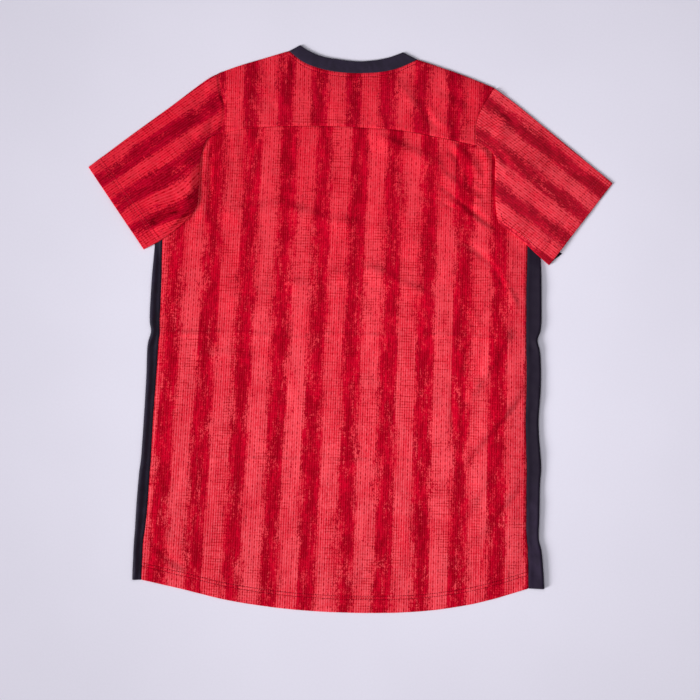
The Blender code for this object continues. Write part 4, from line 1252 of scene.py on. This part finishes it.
def sleeve_heights(side, outline, grid, down, edge_height, lapped, lift):
    """The heights of the upper half, and how far each place is from its edge."""
    shares = outline.shares
    x, y = grid[:, :, 0], grid[:, :, 1]
    wide = np.linalg.norm(grid[-1] - grid[0], axis=1)[None, :]
    gap = wide * (1 - down[:, None])
    free = ramp(gap / 16.0) * ramp(wide * down[:, None] / 16.0)
    base = UPPER + (edge_height - UPPER) * ramp(down)[:, None]
    folds = relief(x, y, SLEEVE_CREASES[side]) * (0.25 + 0.75 * free)
    waves = (0.30 * unevenness(x, y, 42.0, 12) + 0.11 * unevenness(x, y, 15.0, 13)) * free
    # The roll beside the lap, which is highest just past the corner at the underarm.
    past_corner = shares - outline.corner_share
    rising = SLEEVE_BULGE[side] * lift * (0.10 + 0.90 * bell(past_corner - 0.07, 0.12))
    crest = 3.3 + 3.0 * ramp((past_corner + 0.08) / 0.10)
    rising = rising * bell(gap - crest, np.where(gap < crest, 3.9, 14.0))
    # It lies on the body near its edge, and on its own underside further up.
    lowest = UPPER - 0.2 + 1.5 * ramp((34.0 - gap) / 14.0)
    if side == "left":
        # The sleeve comes down to the yoke along the seam they share.
        lowest -= 1.3 * (1 - lapped) * ramp((8.0 - gap) / 8.0)
    heights = np.maximum(base + sleeve_puff(side, shares, down) + waves + rising + folds, lowest)
    from_cuff = (1 - shares) * outline.length
    stitched = sum(bell(from_cuff - row, 1.1) for row in CUFF_ROWS)
    heights += (0.25 * bell(from_cuff - 8.0, 5.0) - 0.3 * stitched)[None, :]
    return heights + (1 - lapped) * 0.25 * bell(gap - 4.5, 2.4), gap


def sleeve_puff(side, shares, down):
    """How far the upper half stands off the underside, most near the underarm."""
    lengthways = np.sin(math.pi * np.clip(shares, 0, 1)) ** 0.7 * (0.6 + 0.4 * shares)
    downwards = np.sin(math.pi * down**1.25)
    at_cuff = CUFF_FLARE[side] * ramp((shares - 0.7) / 0.3)
    puff = SLEEVE_PUFF[side] * downwards[:, None] * lengthways[None, :]
    return puff + np.sin(math.pi * down)[:, None] * at_cuff


def sleeve(side, material):
    """One piece of cloth: the underside, the fold along the top edge, the upper half and its tuck."""
    outline = sleeve_outline(side)
    shares = outline.shares
    outwards = square_to(outline.top, outline.top - BODY_MIDDLE)
    off_edge = square_to(outline.over, outline.over - outline.top)
    rows, heights = [], []

    def add_row(line, height):
        rows.append(line)
        heights.append(np.broadcast_to(height, shares.shape))

    # How the upper edge ends: flush at the seam with the yoke, rolled under where it laps.
    lapped = ramp((shares - outline.seam_share) / LAP_LENGTH)
    to_cuff = ramp((shares - 0.72) / 0.28)
    lift = ramp((shares - outline.seam_share) / 0.30) * (1 - 0.6 * to_cuff)
    radius = 0.6 + 0.4 * lapped + (SLEEVE_ROLL[side] - 1.0) * lift
    turned = (0.30 + 0.66 * lapped) * math.pi
    tuck = 0.15 + SLEEVE_TUCK * lapped
    edge_height = UPPER + LAP_RISE * lapped * (1 - 0.3 * to_cuff)
    edge_height += (SLEEVE_TOP[side] - UPPER - LAP_RISE) * lift
    edge = outline.over - off_edge * (radius * np.sin(np.minimum(turned, math.pi / 2)))[:, None]
    edge = edge - off_edge * (CLOTH / 2 * lapped + SEAM)[:, None]

    # The underside, the fold along the top, the upper half, its rolled edge and the tuck under that.
    fold_radius = (UPPER - LOWER) / 2
    inner_top = outline.top - outwards * (fold_radius + CLOTH / 2)
    for share in np.linspace(0.002, 1, UNDER_ROWS):
        add_row(outline.under + (inner_top - outline.under) * share, LOWER)
    for angle in np.linspace(-0.5, 0.5, TURN_ROWS + 2)[1:-1] * math.pi:
        line = inner_top + outwards * fold_radius * math.cos(angle)
        add_row(line, LOWER + fold_radius * (1 + math.sin(angle)))
    down = steps(1.0, 0.014, Fine(1.0, 0.006, 0.16))
    upper = np.stack([inner_top + (edge - inner_top) * share for share in down])
    upper_heights, gap = sleeve_heights(side, outline, upper, down, edge_height, lapped, lift)
    for line, height in zip(upper, upper_heights):
        add_row(line, height)
    for share in np.linspace(0, 1, 9)[1:]:
        angle = share * turned
        line = edge + off_edge * (radius * np.sin(angle))[:, None]
        add_row(line, upper_heights[-1] - radius * (1 - np.cos(angle)))
    last, last_height = rows[-1], heights[-1]
    for share in (0.3, 0.65, 1.0):
        line = last + off_edge * (np.cos(turned) * tuck * share)[:, None]
        add_row(line, last_height - np.sin(turned) * tuck * share * 0.25)

    from_cuff = (1 - shares) * outline.length
    thickness = np.broadcast_to(hem_thickness(from_cuff)[None, :], (len(rows), len(shares)))
    grid = with_height(np.stack(rows), np.maximum(heights, thickness / 2 + CLEARANCE))
    pattern = sleeve_stripes(side, outline, grid)
    if side == "right":
        grid, pattern, thickness = grid[:, ::-1], pattern[:, ::-1], thickness[:, ::-1]
    piece = shell(f"sleeve_{side}_cloth", grid, thickness, pattern, material)
    return piece, with_height(upper, upper_heights), np.broadcast_to(from_cuff, gap.shape), gap


def sleeve_stripes(side, outline, grid):
    """The places on the printed cloth, whose stripes run from the shoulder to the cuff."""
    across = (grid[:, :, :2] - SLEEVE_TOPS[side][0]) @ -outline.up_the_cuff
    lower_half = UNDER_ROWS + (TURN_ROWS + 1) // 2
    across[:lower_half] *= -1
    if side == "left":
        # The cloth drawn up into the puff takes its stripes along.
        across -= 15.0 * bell(np.hypot(grid[:, :, 0] + 220.0, grid[:, :, 1] - 168.0), 40.0)
    lengthways = np.broadcast_to(outline.shares * outline.length, across.shape)
    start = CLOTH_PLACE[side] * SLEEVE_STRIPES
    return np.stack([across - FIRST_STRIPE[side] + start, lengthways + start], 2)


# ---- The whole picture --------------------------------------------------------------------------

FLOOR_HALF = 30000.0  # half of the floor's width
# The lengths that follow are in metres.
CAMERA_HEIGHT = 2.2
CAMERA_PLACE = (0.0048, -0.0283)
CAMERA_TURN = math.radians(1.3)
VIEW_WIDTH = 0.966  # of the floor
SUN_PLACE = (-1.8, -0.8, 0.9)
SUN_BEARING = math.radians(24)
SUN_SLOPE = -0.466
SUN_WIDTH = math.radians(22)
SUN_STRENGTH = 3.68
SUN_COLOUR = (1.0, 0.99, 0.985)
OVERHEAD_PLACE = (0.02, -0.04, 0.68)
OVERHEAD_SIZE = 0.6
OVERHEAD_POWER = 1.85
WORLD_STRENGTH = 0.235
WORLD_COLOUR = (0.98, 0.97, 1.0, 1.0)


def surface_area(piece):
    """The flat area of a shell's cloth: half of its surface, in square metres."""
    return sum(polygon.area for polygon in piece.data.polygons) / 2


def declare(piece, node, flat):
    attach(piece, "root")
    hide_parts(node)
    area = min(surface_area(piece), flat[0] * flat[1])


def trim(piece):
    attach(piece, "root")


def make_floor():
    corners = np.array([(-1, -1), (1, -1), (1, 1), (-1, 1)]) * FLOOR_HALF
    vertices = np.hstack([corners, np.zeros((4, 1))])
    make_piece("floor", vertices, [(0, 1, 2, 3)], corners, floor_paper())


def make_camera():
    camera = bpy.data.cameras.new("camera")
    camera.sensor_width = 36.0
    camera.lens = camera.sensor_width * CAMERA_HEIGHT / VIEW_WIDTH
    holder = put_in_scene("camera", camera)
    holder.location = (*CAMERA_PLACE, CAMERA_HEIGHT)
    holder.rotation_euler = (0.0, 0.0, CAMERA_TURN)
    bpy.context.scene.camera = holder


def add_light(name, kind, energy, place, way):
    light = bpy.data.lights.new(name, kind)
    light.energy = energy
    holder = put_in_scene(name, light)
    holder.location = place
    holder.rotation_euler = Vector(way).to_track_quat("-Z", "Y").to_euler()
    holder.visible_camera = False
    return light


def make_studio():
    way = (math.cos(SUN_BEARING), math.sin(SUN_BEARING), SUN_SLOPE)
    key = add_light("key_light", "SUN", SUN_STRENGTH, SUN_PLACE, way)
    key.angle = SUN_WIDTH
    key.color = SUN_COLOUR
    overhead = add_light("overhead_light", "AREA", OVERHEAD_POWER, OVERHEAD_PLACE, (0.0, 0.0, -1.0))
    overhead.shape = "DISK"
    overhead.size = OVERHEAD_SIZE
    world = bpy.data.worlds.new("studio")
    world.use_nodes = True
    background = world.node_tree.nodes["Background"]
    background.inputs["Color"].default_value = WORLD_COLOUR
    background.inputs["Strength"].default_value = WORLD_STRENGTH
    bpy.context.scene.world = world
    bpy.context.scene.view_settings.view_transform = "Standard"


def main():
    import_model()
    make_camera()
    make_floor()
    make_studio()

    red = red_knit("red_knit", BODY_STRIPES)
    # Copies of the same knit for the yoke and the sleeves, with painted light. Each has some deeper red and
    # darker paint as painted shade, most on the left sleeve. The right sleeve also has a paler red as
    # painted sheen.
    yoke_red = red_knit("red_knit_yoke", BODY_STRIPES, deeper=0.50, shade=0.95)
    sleeve_reds = {
        "left": red_knit("red_knit_left", SLEEVE_STRIPES, wider=0.03, deeper=0.70, shade=0.91),
        "right": red_knit("red_knit_right", SLEEVE_STRIPES, deeper=0.34, painted_sheen=0.025, shade=0.93),
    }
    # The side panels are one black knit in two copies: the darker left one is painted shade and the lighter
    # right one is painted light. The right one is also painted darker further up, as painted shade.
    left_black_shaded, right_black_lit = linear(28, 20, 40), linear(37, 27, 47)
    blacks = {
        "left": dark_knit("black_knit_left", 0.62, 0.13, left_black_shaded, 1.3, 0.5),
        "right": dark_knit("black_knit_right", 0.68, 0.07, right_black_lit, 1.3, 0.5, 0.11, painted_shade_above=0.55),
    }
    rib = dark_knit("black_rib", 0.8, 0.18, linear(38, 30, 49), 1.5, 1.0)
    red_thread = thread("red_thread", THREAD_RED)
    cuff_thread = thread("cuff_thread", THREAD_PALE_RED)

    back, hem_rows = back_panel(red)
    yoke, neck_rows = back_yoke(yoke_red)
    front = front_panel(red)
    band = neckband(rib)
    hem_stitches = stitches("hem_stitches", hem_rows, red_thread)
    neck_stitches = stitches("neck_stitches", neck_rows, red_thread)

    trim(hem_stitches)
    trim(neck_stitches)
    declare(back, "back_panel", (0.56, 0.68))
    declare(yoke, "back_yoke", (0.39, 0.13))
    declare(front, "front_panel", (0.56, 0.76))
    declare(band, "neckband", (0.55, 0.018))
    for side in SIDES:
        arm, upper, from_cuff, from_lap = sleeve(side, sleeve_reds[side])
        facing = 1.0 if side == "left" else -1.0
        turned, places = upper.transpose(1, 0, 2)[::-1], from_cuff.T[::-1]
        rows = [row_at(turned, places, row, HEMMED, facing) for row in CUFF_ROWS]
        threads = [stitches(f"cuff_stitches_{side}", rows, cuff_thread)]
        if side == "right":
            line, ups = row_at(upper[::-1], from_lap[::-1], LAP_ROW, CLOTH)
            past_corner = line[:, 1] < LAP_CORNER_LEVEL
            rows = [(line[past_corner], ups[past_corner])]
            threads.append(stitches("lap_stitches_right", rows, red_thread))
        for stitching in threads:
            trim(stitching)
        panel = side_panel(side, blacks[side])
        strip = underarm_strip(side, blacks[side])
        declare(arm, f"sleeve_{side}", (0.30, 0.24))
        declare(panel, f"side_panel_{side}", (0.06, 0.50))
        declare(strip, f"underarm_strip_{side}", (0.04, 0.035))


main()
